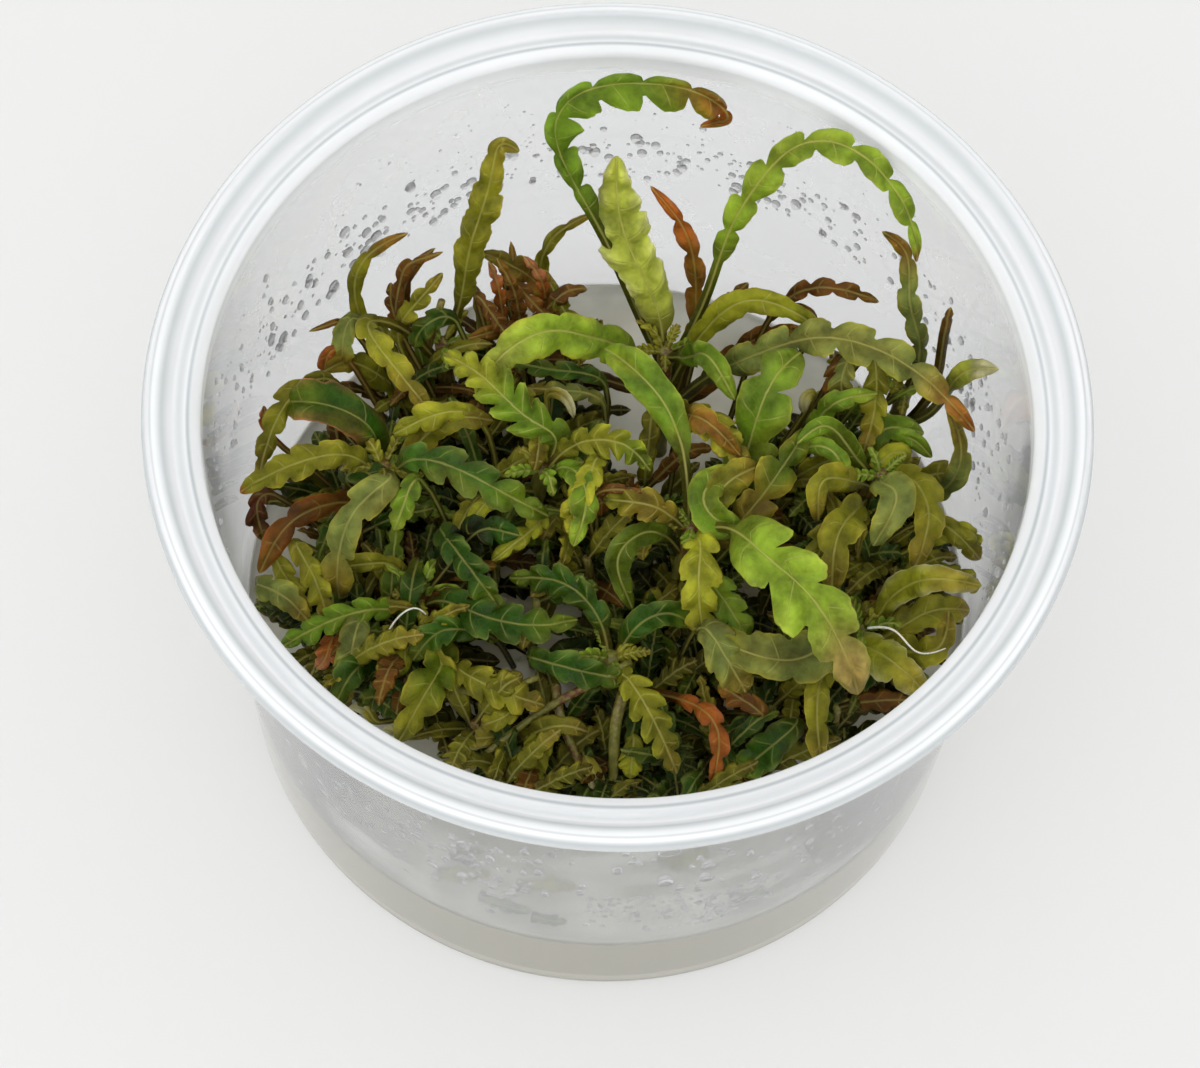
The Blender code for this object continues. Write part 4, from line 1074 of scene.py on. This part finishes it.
def mixed(tint, paint, share):
    """A colour field turned towards a paint by a share at each point."""
    share = np.broadcast_to(share, tint.shape[:2])[..., None]
    return tint * (1.0 - share) + linear(PAINTS[paint]) * share


def leaf_tint(paints, share, grown, stalk, across, upper, blade, phase, rng):
    """A leaf's colour at each point: the blade's, turning to the tip's and to the margin's.  Each
    lobe has its own shade by chance, and painted highlight and painted shade make it palest at
    its crest and darkest in the cut beside it.  A blush of bronze comes and goes along the
    blade, its underside is greyer, and its stalk is brown."""
    body, tip, start, margin = paints
    out = np.abs(across)
    crest = 0.5 - 0.5 * np.cos(2 * np.pi * phase)
    lobes = np.arange(-1, int(phase.max()) + 3) + 0.5
    shades = rng.uniform(0.82, 1.2, (2, len(lobes)))
    shade = np.where(across > 0, np.interp(phase, lobes, shades[0]), np.interp(phase, lobes, shades[1]))
    tint = linear(PAINTS[body]) * np.ones(phase.shape + (1,))
    tint = mixed(tint, tip, ease(grown, start, min(start + 0.3, 1.0)))
    wander = np.sin(rng.uniform(4, 9) * grown + rng.uniform(*ANY_PHASE))
    wander = wander + 0.6 * np.sin(3 * across + rng.uniform(*ANY_PHASE))
    tint = mixed(tint, "bronze", rng.uniform(0.0, BLUSH) * ease(wander, 0.2, 1.4))
    tint = mixed(tint, margin, blade * (0.3 * ease(out, 0.4, 0.95) * crest + 0.65 * ease(out, 0.92, 1.0)))
    # Each lobe's random tone, with painted highlight on its crest and painted shade in the cut beside it,
    # strongest towards the margin
    lobe_tone_and_painted_shade = (shade - 1.0) * out + 0.35 * (crest - 0.5) * (0.3 + 0.7 * out)
    tint = tint * (1.0 + blade * lobe_tone_and_painted_shade)[..., None]
    tint = mixed(tint, "sage", np.where(upper < 0, 0.3, 0.0))
    tint = mixed(tint, "stalk", 0.85 * (1.0 - ease(share, stalk * 0.8, stalk + 0.14)))
    tint = tint * rng.uniform(0.72, 1.04)
    return np.concatenate([tint, np.ones(tint.shape[:2] + (1,))], axis=-1)


def paints_of(name, shape):
    """A leaf's four colours: its own where it has them, or else its tone's."""
    return LEAF_PAINTS.get(name, TONES[shape["tone"]])


def make_leaves(tissues):
    """Every leaf that stands on its own."""
    for number, (name, shape) in enumerate(LEAVES.items()):
        rng = np.random.default_rng(LEAF_SEED + number)
        rings, values = leaf_surface(shape, leaf_root(shape), paints_of(name, shape), rng)
        made = Shape()
        made.add(rings, **values)
        tone = shape["tone"]
        blade = made.piece(name.replace("leaf_", "blade_"), [tissues[tone]], "leaf_" + tone)
        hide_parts(name)


def make_stems(tissues, skin):
    """Every stem, in one piece with the small shoots that grow from it."""
    for name in STEMS:
        made = Shape()
        rings = stem_surface(name)
        blank = np.zeros(rings.shape[:2] + (3,))
        made.add(rings, slot=0, blade=blank, spread=blank, tint=np.ones(rings.shape[:2] + (4,)))
        tones = []
        for order, (shoot, shape) in enumerate(SHOOTS.items()):
            if shape["stem"] != name:
                continue
            rng = np.random.default_rng(SHOOT_SEED + order)
            rings, values = leaf_surface(shape, leaf_root(shape), paints_of(shoot, shape), rng)
            if shape["tone"] not in tones:
                tones.append(shape["tone"])
            made.add(rings, slot=1 + tones.index(shape["tone"]), **values)
        stem = made.piece(name.replace("stem_", "stalk_"), [skin] + [tissues[t] for t in tones], "stem")
        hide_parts(name)


# Undergrowth: groups of young plantlets by centre, radius, how many, how high their tops are (least, most),
# how wide half a leaf is (least, most), and the chances of dark, olive, brown and bright leaves
THICKETS = [
    ((0, -2), 31.0, 24, (22, 29), (1.1, 2.0), (0.55, 0.33, 0.08, 0.04)),
    ((-17, 23), 11.0, 8, (26, 34), (0.7, 1.3), (0.2, 0.42, 0.34, 0.04)),
    ((-2, 4), 17.0, 9, (29, 35), (1.0, 1.9), (0.35, 0.45, 0.1, 0.1)),
    ((20, 14), 13.0, 6, (25, 33), (1.0, 1.8), (0.3, 0.4, 0.15, 0.15)),
    ((0, -21), 14.0, 7, (23, 31), (0.9, 1.7), (0.45, 0.38, 0.12, 0.05)),
    ((-28, -2), 9.0, 5, (26, 34), (0.9, 1.6), (0.35, 0.4, 0.2, 0.05)),
    ((30, -4), 8.0, 4, (24, 31), (0.9, 1.6), (0.35, 0.45, 0.15, 0.05)),
    ((-27, -12), 7.0, 5, (26, 33), (1.0, 1.7), (0.4, 0.45, 0.1, 0.05)),
    ((28, -14), 6.0, 4, (25, 32), (1.0, 1.7), (0.4, 0.45, 0.1, 0.05)),
    ((-31, 8), 6.0, 4, (27, 35), (1.0, 1.7), (0.4, 0.4, 0.15, 0.05)),
    ((31, 6), 6.0, 4, (27, 34), (1.0, 1.7), (0.35, 0.45, 0.1, 0.1)),
]
THICKET_TONES = ["dark", "olive", "brown", "bright"]
LEAVES_A_PLANTLET = 9
CLUMP_RADIUS = 34.0
# Leaves keep within this distance of the axis.  In front they keep within less at the gel's top, and
# gain by the slope above it, so that the gel shows through the wall.
LEAF_LIMIT = 41.0
FRONT_LIMIT_FOOT = 27.0
FRONT_LIMIT_SLOPE = 0.48
# The patch behind the clump where the gel shows bare: beyond this depth, right of this line
BARE_DEPTH = 20.0
BARE_LEFT = -10.0
# Painted shade: leaves are darkened towards the gel, for the shade low in the clump.  This share of
# # their colour is left at the gel, and all of it at the shade's top
PAINTED_SHADE_SHARE = 0.1
PAINTED_SHADE_TOP = 40.0
# Young stems start this high, inside the gel, and their lowest leaves this high
YOUNG_STEM_FOOT = 12.0
LOWEST_LEAF = 14.0
YOUNG_STEM_RADII = (0.7, 0.5)


def room(points):
    """How far from the axis a leaf may reach at each of the points."""
    x, y, z = points.T
    front = ease(-y / np.maximum(np.hypot(x, y), 1.0), 0.3, 0.75)
    narrow = np.minimum(LEAF_LIMIT, FRONT_LIMIT_FOOT + FRONT_LIMIT_SLOPE * (z - GEL_TOP))
    return LEAF_LIMIT + (narrow - LEAF_LIMIT) * front


def young_leaf(centre, foot, way, length, rise, half_width, rng):
    """A small leaf that leaves its plantlet at a height and in a direction, arches up, and levels off."""
    out = np.array([np.cos(way), np.sin(way)])
    sag = rng.uniform(-0.25, 0.15)
    steps = [(0.0, 0.0), (0.3, 0.5), (0.68, 0.85), (1.0, 0.85 + sag)]
    points = np.array([np.append(centre + out * length * reach, foot + length * rise * lift)
                       for reach, lift in steps])
    squeeze = min(1.0, np.min(room(points) / np.hypot(points[:, 0], points[:, 1])))
    points = points * [squeeze, squeeze, 1.0]
    lobes, depth = int(rng.integers(3, 7)), rng.uniform(0.25, 0.6)
    shape = loose_leaf(half_width, lobes, depth, list(points[1:]), roll=(0, rng.uniform(-50, 50)),
                       wild=1.3, slender=0.7)
    return points[0], shape


def make_undergrowth(tissues, skin):
    """Young plantlets between the stems.  Each has a thin stem, with small leaves that arch up and
    out in turn round it.  Places, lengths and tones come from a seeded table of chance."""
    rng = np.random.default_rng(THICKET_SEED)
    by_tone = {tone: Shape() for tone in THICKET_TONES}
    stems = Shape()
    for middle, radius, count, tops, widths, chances in THICKETS:
        placed = 0
        while placed < count:
            distance, turn = radius * np.sqrt(rng.random()), rng.uniform(0, 2 * np.pi)
            centre = np.array(middle) + distance * np.array([np.cos(turn), np.sin(turn)])
            if np.hypot(*centre) > CLUMP_RADIUS or (centre[1] > BARE_DEPTH and centre[0] > BARE_LEFT):
                continue
            placed += 1
            top = rng.uniform(*tops)
            halfway = np.append(centre + rng.uniform(-1, 1, 2), 0.5 * (top + YOUNG_STEM_FOOT))
            route = [np.append(centre, YOUNG_STEM_FOOT), halfway, np.append(centre, top - 1.0)]
            stems.add(tube(route, *YOUNG_STEM_RADII, rows=10))
            for k in range(LEAVES_A_PLANTLET):
                level = (k + rng.uniform(0.2, 0.8)) / LEAVES_A_PLANTLET
                foot = LOWEST_LEAF + (top - (LOWEST_LEAF + 1.0)) * level
                length = rng.uniform(8.0, 15.0) * (1.0 - 0.35 * level)
                way = LEAF_TURN * k + rng.uniform(-0.4, 0.4)
                rise = rng.uniform(0.1, 0.7) + 0.4 * level
                root, shape = young_leaf(centre, foot, way, length, rise, rng.uniform(*widths), rng)
                tone = THICKET_TONES[rng.choice(len(THICKET_TONES), p=chances)]
                rings, values = leaf_surface(shape, root, TONES[tone], rng,
                                             rows_a_lobe=5, sides=8, stalk_rows=3)
                # Painted shade: the leaf's colour darkens towards the gel
                depth = PAINTED_SHADE_SHARE + (1.0 - PAINTED_SHADE_SHARE) * ease(rings[..., 2:], GEL_TOP, PAINTED_SHADE_TOP)
                values["tint"][..., :3] *= depth
                by_tone[tone].add(rings, **values)
    make_pieces("undergrowth_", by_tone, tissues)
    stems.piece("young_stems", [skin], "stem")


# How many leaves each crown has, their tones, and the chance of the second tone
CROWN_LEAVES = 5
CROWN_TONES = ("bright", "olive")
OLIVE_CHANCE = 0.6


def make_crowns(tissues):
    """The youngest leaves, in a tuft on each stem's end: short, narrow, and nearly upright."""
    rng = np.random.default_rng(CROWN_SEED)
    by_tone = {tone: Shape() for tone in CROWN_TONES}
    for route in STEMS.values():
        crown = np.array(route[-1], float)
        for k in range(CROWN_LEAVES):
            tone = CROWN_TONES[int(rng.random() < OLIVE_CHANCE)]
            way = LEAF_TURN * k + rng.uniform(-0.3, 0.3)
            length, rise, half_width = rng.uniform(3.0, 5.0), rng.uniform(0.4, 1.0), rng.uniform(0.6, 1.0)
            root, shape = young_leaf(crown[:2], crown[2] - 1.0, way, length, rise, half_width, rng)
            rings, values = leaf_surface(shape, root, TONES[tone], rng,
                                         rows_a_lobe=7, sides=14, stalk_rows=4)
            by_tone[tone].add(rings, **values)
    make_pieces("crown_leaves_", by_tone, tissues)


# Small leaves that show between the larger ones: look, half width, lobes, depth of the cuts, and route
SPRIGS = [
    ("brown", 0.4, 1, 0.0, [(-32, 23, 37), (-34, 22, 38), (-36, 21, 38)]),
    ("grey", 1.6, 2, 0.2, [(-31, 23, 38), (-32, 21, 37), (-32, 19, 34)]),
    ("orange", 0.9, 2, 0.3, [(-33, 20, 36), (-34, 19, 35), (-34, 17, 32)]),
    ("brown", 0.9, 4, 0.5, [(-26, 24, 33), (-26, 26, 40), (-25, 27, 44), (-23, 27, 46), (-21, 28, 46)]),
    ("brown", 0.8, 3, 0.5, [(-26, 24, 35), (-27, 26, 38), (-27, 27, 40)]),
    ("olive", 1.2, 4, 0.5, [(-26, 23, 34), (-24, 25, 39), (-21, 27, 43)]),
    ("dark", 1.5, 3, 0.4, [(-20, 24, 38), (-23, 23, 37), (-24, 22, 34)]),
    ("brown", 1.2, 5, 0.6, [(-12, 27, 32), (-13, 28, 39), (-15, 30, 42)]),
    ("orange", 1.0, 5, 0.6, [(-9, 29, 31), (-10, 30, 38), (-12, 31, 41)]),
    ("orange", 0.9, 4, 0.6, [(-14, 27, 33), (-15, 29, 38), (-16, 30, 41)]),
    ("brown", 1.1, 5, 0.6, [(-14, 30, 38), (-11, 28, 36), (-7, 26, 33)]),
    ("olive", 1.0, 4, 0.6, [(-9, 31, 35), (-7, 28, 34), (-4, 27, 32)]),
    ("brown", 1.1, 5, 0.5, [(-17, 27, 38), (-14, 24, 36), (-12, 23, 34)]),
    ("dark", 1.3, 4, 0.5, [(-2, 18, 36), (-7, 18, 38), (-13, 20, 36)]),
    ("grey", 1.1, 4, 0.5, [(-2, 16, 35), (-6, 16, 37), (-11, 17, 35)]),
    ("dark", 1.2, 4, 0.5, [(-7, 24, 33), (-11, 22, 35), (-14, 22, 34)]),
    ("cream", 0.8, 1, 0.0, [(-8, 15, 38), (-6, 14, 39), (-5, 12, 38)]),
    ("brown", 1.4, 4, 0.6, [(9, 25, 35), (11, 27, 38), (14, 30, 40)]),
    ("brown", 1.1, 3, 0.3, [(22, 29, 34), (17, 29, 37), (13, 30, 38)]),
    ("brown", 1.2, 5, 0.5, [(17, 28, 36), (21, 29, 41), (25, 28, 43), (29, 28, 41)]),
    ("olive", 1.8, 5, 0.4, [(28, 19, 45), (29, 15, 42), (28, 10, 38)]),
    ("grey", 1.6, 4, 0.5, [(26, 20, 44), (25, 17, 42), (26, 15, 40)]),
    ("brown", 1.4, 3, 0.4, [(25, 19, 43), (24, 17, 41), (25, 15, 39)]),
    ("bright", 1.4, 3, 0.3, [(22, 13, 38), (25, 14, 43), (29, 15, 43)]),
    ("bright", 1.3, 2, 0.3, [(21, 8, 42), (24, 7, 44), (26, 5, 41)]),
    ("cream", 0.8, 1, 0.0, [(22, 16, 40), (21, 15, 41), (21, 14, 39)]),
    ("bright", 1.8, 2, 0.2, [(28, 10, 34), (30, 13, 38), (35, 14, 36)]),
    ("yellow", 1.4, 2, 0.2, [(33, 11, 36), (31, 10, 38), (29, 7, 37)]),
    ("olive", 1.5, 3, 0.3, [(36, 3, 36), (39, 1, 37), (42, 0, 33)]),
    ("yellow", 1.4, 3, 0.3, [(36, 1, 35), (39, 2, 36), (42, 2, 32)]),
    ("olive", 1.5, 3, 0.3, [(37, -3, 34), (40, -3, 34), (42, -3, 31)]),
    ("olive", 2.1, 3, 0.3, [(32, -10, 33), (36, -8, 35), (41, -6, 32)]),
    ("olive", 1.5, 5, 0.4, [(-33, 14, 40), (-37, 10, 42), (-39, 5, 41), (-40, 1, 38)]),
    ("orange", 0.5, 2, 0.3, [(-40, 9, 37), (-40, 10, 39), (-40, 10, 40)]),
    ("wine", 1.4, 3, 0.4, [(-39, 1, 36), (-40, 0, 35), (-39, -3, 32)]),
    ("bright", 1.5, 3, 0.3, [(-22, 1, 42), (-23, -2, 42), (-24, -4, 39)]),
    ("dark", 2.0, 3, 0.3, [(-30, 3, 37), (-28, 3, 39), (-25, 1, 37)]),
    ("olive", 1.7, 4, 0.4, [(-35, -5, 36), (-33, -8, 35), (-31, -12, 31)]),
    ("grey", 1.8, 3, 0.3, [(-39, -9, 33), (-36, -11, 35), (-33, -13, 33)]),
    ("olive", 1.6, 4, 0.4, [(-38, -4, 35), (-36, -8, 34), (-33, -11, 31)]),
    ("yellow", 1.7, 3, 0.4, [(-16, 10, 41), (-20, 9, 43), (-25, 7, 41)]),
    ("dark", 1.5, 3, 0.3, [(-5, 7, 37), (-3, 9, 39), (-2, 12, 38)]),
    ("yellow", 1.8, 5, 0.3, [(-2, 4, 44), (-3, 0, 45), (-4, -2, 43), (-4, -4, 40)]),
    ("brown", 0.7, 4, 0.5, [(-2, 0, 43), (1, 0, 45), (6, -1, 43)]),
    ("olive", 1.0, 1, 0.0, [(-24, -14, 30), (-24, -17, 31), (-25, -19, 30)]),
    ("yellow", 1.1, 1, 0.0, [(-22, -14, 30), (-22, -16, 31), (-23, -18, 30)]),
    ("dark", 2.0, 4, 0.3, [(-14, -13, 33), (-18, -14, 35), (-21, -17, 33)]),
    ("grey", 1.9, 4, 0.3, [(-27, -12, 33), (-28, -17, 32), (-29, -21, 28)]),
    ("orange", 1.3, 3, 0.3, [(-30, -13, 30), (-31, -16, 30), (-32, -17, 29)]),
    ("cream", 0.8, 1, 0.0, [(-25, -22, 27), (-26, -21, 28), (-28, -21, 28)]),
    ("cream", 0.6, 1, 0.0, [(-22, -23, 26), (-23, -23, 27), (-24, -23, 27)]),
    ("cream", 1.4, 2, 0.2, [(-11, -23, 27), (-14, -24, 28), (-16, -25, 26)]),
    ("dark", 2.0, 4, 0.3, [(-19, -20, 29), (-22, -20, 30), (-27, -20, 28)]),
    ("yellow", 2.2, 4, 0.2, [(-6, -23, 29), (-7, -26, 28), (-8, -29, 26)]),
    ("yellow", 1.5, 4, 0.2, [(4, -23, 29), (4, -25, 28), (4, -27, 27)]),
    ("cream", 1.1, 1, 0.0, [(-1, -25, 27), (0, -27, 27), (0, -29, 25)]),
    ("olive", 1.3, 3, 0.3, [(-9, -21, 31), (-11, -23, 32), (-13, -23, 30)]),
    ("grey", 2.4, 4, 0.2, [(11, -14, 40), (13, -17, 41), (16, -20, 37)]),
    ("brown", 1.5, 3, 0.3, [(18, -21, 34), (16, -20, 35), (13, -18, 34)]),
    ("dark", 2.2, 3, 0.2, [(22, -21, 32), (19, -24, 31), (16, -26, 28)]),
    ("dark", 1.3, 1, 0.0, [(14, -23, 31), (14, -24, 31), (15, -26, 29)]),
    ("bright", 2.2, 2, 0.2, [(14, -1, 38), (11, -1, 42), (10, 1, 43), (13, 5, 42)]),
    ("dark", 2.2, 5, 0.4, [(-19, -2, 36), (-16, -7, 39), (-11, -12, 36)]),
    ("olive", 1.7, 5, 0.4, [(-11, 13, 41), (-9, 9, 42), (-9, 4, 40)]),
    ("olive", 2.3, 4, 0.4, [(8, 12, 40), (11, 9, 43), (15, 5, 42)]),
    ("olive", 1.9, 4, 0.4, [(27, 0, 38), (24, -2, 40), (23, -6, 37)]),
    ("dark", 2.0, 4, 0.3, [(-8, -16, 34), (-3, -18, 36), (3, -18, 34)]),
    ("olive", 2.2, 5, 0.4, [(-16, -17, 32), (-12, -20, 34), (-6, -21, 32)]),
]
SPRIG_SKINS = ("bright", "yellow", "olive", "dark", "brown")
# A sprig's stalk starts this deep in the gel, at this share of its leaf's distance from the axis
SPRIG_DEPTH = 2.0
SPRIG_FOOT = 0.72

# Bare stems that cross the front of the clump: route and radius
RUNNERS = [
    ([(-19, -16, 27), (-14, -20, 32), (-11, -20, 33), (-7, -18, 33)], 0.45),
    ([(3, -16, 34), (1, -18, 35), (-6, -21, 31), (-14, -27, 27)], 0.5),
    ([(-5, -18, 31), (-4, -22, 30), (-2, -25, 27), (0, -28, 22)], 0.55),
    ([(3, -18, 33), (2, -22, 32), (2, -25, 28), (2, -28, 23)], 0.7),
    ([(5, -18, 31), (7, -23, 30), (9, -25, 28), (11, -28, 24)], 0.45),
    ([(-25, 22, 18), (-23, 24, 28), (-22, 24, 35), (-21, 25, 40)], 0.55),
]


def make_sprigs(tissues, skin):
    """Small leaves and bare stems that fill the clump.  Each leaf has a thin stalk that rises from
    the gel, further in than the leaf, and the blade begins at the first point of its route."""
    by_skin = {name: Shape() for name in SPRIG_SKINS}
    for number, (look, half_width, lobes, depth, route) in enumerate(SPRIGS):
        rng = np.random.default_rng(SPRIG_SEED + number)
        start = np.array(route[0], float)
        root = start * [SPRIG_FOOT, SPRIG_FOOT, 0.0] + [0.0, 0.0, GEL_TOP - SPRIG_DEPTH]
        middle = 0.45 * root + 0.55 * start - (start - root) * [0.15, 0.15, 0.0]
        whole = smooth_route([root, middle] + route)
        reach = np.argmin(np.linalg.norm(whole[0] - start, axis=1))
        shape = loose_leaf(half_width, lobes, depth, [tuple(middle)] + route,
                           stalk=0.96 * whole[1][reach] / whole[1][-1], wild=1.1, slender=0.6)
        rings, values = leaf_surface(shape, root, TONES[look], rng, rows_a_lobe=10, sides=20)
        by_skin[SKIN_OF.get(look, look)].add(rings, **values)
    make_pieces("sprigs_", by_skin, tissues)
    stems = Shape()
    for points, radius in RUNNERS:
        stems.add(tube(points, radius, 0.8 * radius, rows=24, sides=10))
    stems.piece("runners", [skin], "stem")


# Leaf bits that lie on the gel: look, half width, and route
LITTER = [
    ("olive", 0.9, [(-17, -36, 17.2), (-14, -36, 17.4), (-11, -36, 17.2)]),
    ("dark", 0.7, [(-12, -38, 17.1), (-9, -39, 17.3), (-6, -39.5, 17.1)]),
    ("dark", 0.6, [(-6, -40, 17.1), (-4, -40.3, 17.3), (-2, -40.3, 17.1)]),
    ("olive", 0.8, [(-8, -37, 17.2), (-5, -37, 17.5), (-1, -37, 17.2)]),
    ("dark", 0.6, [(-16, -34, 17.1), (-14, -34, 17.3), (-12, -34, 17.1)]),
    ("dark", 0.7, [(16, -36.5, 17.1), (18, -36, 17.4), (20, -35, 17.1)]),
    ("cream", 1.3, [(-5, -32, 17.4), (-1, -33, 18.2), (3, -32, 17.6)]),
    ("yellow", 1.0, [(-20, -30, 17.3), (-17, -31, 17.9), (-14, -31, 17.3)]),
    ("olive", 0.5, [(25, -31, 17.2), (28, -29, 18.0), (31, -26, 17.3)]),
    ("yellow", 1.0, [(8, -34, 17.3), (11, -34, 17.8), (14, -33, 17.3)]),
]


def make_litter(tissues):
    """Bits of leaf that lie on the gel in front of the clump."""
    by_skin = {}
    for number, (look, half_width, route) in enumerate(LITTER):
        rng = np.random.default_rng(LITTER_SEED + number)
        root = np.array(route[0], float)
        shape = loose_leaf(half_width, 3, 0.4, route[1:], stalk=0.05, wild=0.8)
        rings, values = leaf_surface(shape, root, TONES[look], rng, rows_a_lobe=6, sides=12)
        by_skin.setdefault(SKIN_OF.get(look, look), Shape()).add(rings, **values)
    make_pieces("fallen_leaves_", by_skin, tissues)


# The fine roots that loop over the leaves, by route and radius, and how many wander in the gel
ROOTS = [
    ([(-25.0, -17.0, 29.0), (-23.7, -13.2, 33.5), (-21.2, -11.5, 35.0), (-19.3, -12.4, 34.0)], 0.16),
    ([(29.1, -11.7, 38.0), (32.0, -12.8, 40.0), (34.4, -14.6, 39.0), (38.4, -12.8, 37.0)], 0.14),
]
ROOT_COUNT = 40
ROOT_RADII = (0.15, 0.3)
ROOT_TIP_RADIUS = 0.08


def make_roots():
    """White roots: two looped over the leaves, and many that wander down into the gel."""
    rng = np.random.default_rng(ROOT_SEED)
    shape = Shape()
    for points, radius in ROOTS:
        shape.add(tube(points, radius, 0.5 * radius, rows=40))
    for _ in range(ROOT_COUNT):
        distance, turn = CLUMP_RADIUS * np.sqrt(rng.random()), rng.uniform(0, 2 * np.pi)
        foot = distance * np.array([np.cos(turn), np.sin(turn)])
        drift = 0.6 * np.cumsum(rng.uniform(-4.0, 4.0, (4, 2)), axis=0)
        heights = [GEL_TOP + rng.uniform(0.5, 4.0), 12.0, 8.0, rng.uniform(3.5, 6.0)]
        points = np.column_stack([foot + drift, heights])
        shape.add(tube(points, rng.uniform(*ROOT_RADII), ROOT_TIP_RADIUS, rows=20, sides=6))
    shape.piece("fine_roots", [root_tissue()], "agar_gel")


# The photograph's view, fitted to the circles of the rim, the mouth, the gel and the foot
CAMERA_PLACE = (0.0, -0.1714, 0.3907)
CAMERA_PITCH, CAMERA_YAW, CAMERA_ROLL = np.radians([64.386, -0.390, 3.352])
CAMERA_LENS = 105.0
SENSOR_WIDTH = 36.0


def make_camera():
    """The camera: pitch is how far it looks down, yaw turns it about Z, and roll about its view."""
    down, turn, roll = CAMERA_PITCH, CAMERA_YAW, CAMERA_ROLL
    ahead = np.array([np.sin(turn) * np.cos(down), np.cos(turn) * np.cos(down), -np.sin(down)])
    level = np.array([np.cos(turn), -np.sin(turn), 0.0])
    upright = np.cross(level, ahead)
    right = level * np.cos(roll) + upright * np.sin(roll)
    up = upright * np.cos(roll) - level * np.sin(roll)
    data = bpy.data.cameras.new("camera")
    data.lens, data.sensor_width, data.sensor_fit = CAMERA_LENS, SENSOR_WIDTH, "HORIZONTAL"
    data.clip_start, data.clip_end = 0.01, 20.0
    camera = bpy.data.objects.new("camera", data)
    axes = np.column_stack([right, up, -ahead, CAMERA_PLACE])
    camera.matrix_world = Matrix([*axes.tolist(), (0, 0, 0, 1)])
    bpy.context.scene.collection.objects.link(camera)
    bpy.context.scene.camera = camera


def make_light():
    """Soft studio light, as in a white tent: brightest half-way up its sides, and one broad lamp."""
    world = bpy.data.worlds.new("studio")
    world.use_nodes = True
    bpy.context.scene.world = world
    tree = world.node_tree
    tree.nodes.clear()
    height = add(tree, "SeparateXYZ", [add(tree, "TexCoord").outputs["Generated"]]).outputs[2]
    low = add(tree, "MapRange", [height, 0.0, 0.4], **SMOOTH)
    high = add(tree, "MapRange", [height, 0.55, 0.9], **SMOOTH)
    side = add(tree, "Mix", {0: low, 6: rgba("#c8cacb"), 7: rgba("#ffffff")}, **COLOURS)
    shade = add(tree, "Mix", {0: high, 6: side, 7: rgba("#e0e1e2")}, **COLOURS)
    sky = add(tree, "Background", {"Color": shade, "Strength": SKY_STRENGTH})
    add(tree, "OutputWorld", {"Surface": sky})

    paths = bpy.context.scene.cycles
    paths.max_bounces, paths.transmission_bounces = LIGHT_BOUNCES, LIGHT_BOUNCES
    paths.diffuse_bounces, paths.glossy_bounces = 2, 2
    paths.use_adaptive_sampling, paths.adaptive_threshold, paths.adaptive_min_samples = True, 0.04, 16

    lamp = bpy.data.lights.new("softbox", "AREA")
    lamp.shape, lamp.energy = "RECTANGLE", LAMP_WATTS
    lamp.size, lamp.size_y = LAMP_SIZE
    holder = bpy.data.objects.new("softbox", lamp)
    holder.location = LAMP_PLACE
    holder.rotation_euler = (-Vector(LAMP_PLACE)).to_track_quat("-Z", "Y").to_euler()
    bpy.context.scene.collection.objects.link(holder)
    bpy.context.scene.view_settings.view_transform = "Standard"


def make_table():
    """The table top, wide enough that its edge shows in no view."""
    mesh = bpy.data.meshes.new("table")
    corners = [(x * TABLE_HALF, y * TABLE_HALF, 0.0) for x, y in ((-1, -1), (1, -1), (1, 1), (-1, 1))]
    mesh.from_pydata(corners, [], [(0, 1, 2, 3)])
    mesh.materials.append(board())
    table = bpy.data.objects.new("table", mesh)
    table.location.z = -TABLE_GAP
    bpy.context.scene.collection.objects.link(table)


def make_object():
    """Every piece of the plantlets and their cup."""
    tissues = {
        "bright": leaf_tissue("young_green_leaf", 0.36, 0.26, 0.7),
        "yellow": leaf_tissue("pale_yellow_leaf", 0.38, 0.28, 0.7),
        "olive": leaf_tissue("olive_leaf", 0.4, 0.2, 0.55),
        "dark": leaf_tissue("deep_green_leaf", 0.36, 0.12, 0.4),
        "brown": leaf_tissue("bronze_leaf", 0.42, 0.18, 0.4),
    }
    make_leaves(tissues)
    stem_skin = stem_tissue()
    make_stems(tissues, stem_skin)
    make_undergrowth(tissues, stem_skin)
    make_crowns(tissues)
    make_sprigs(tissues, stem_skin)
    make_litter(tissues)
    make_roots()
    make_gel()
    make_cup()
    make_drops()


make_camera()
make_light()
make_table()
make_object()
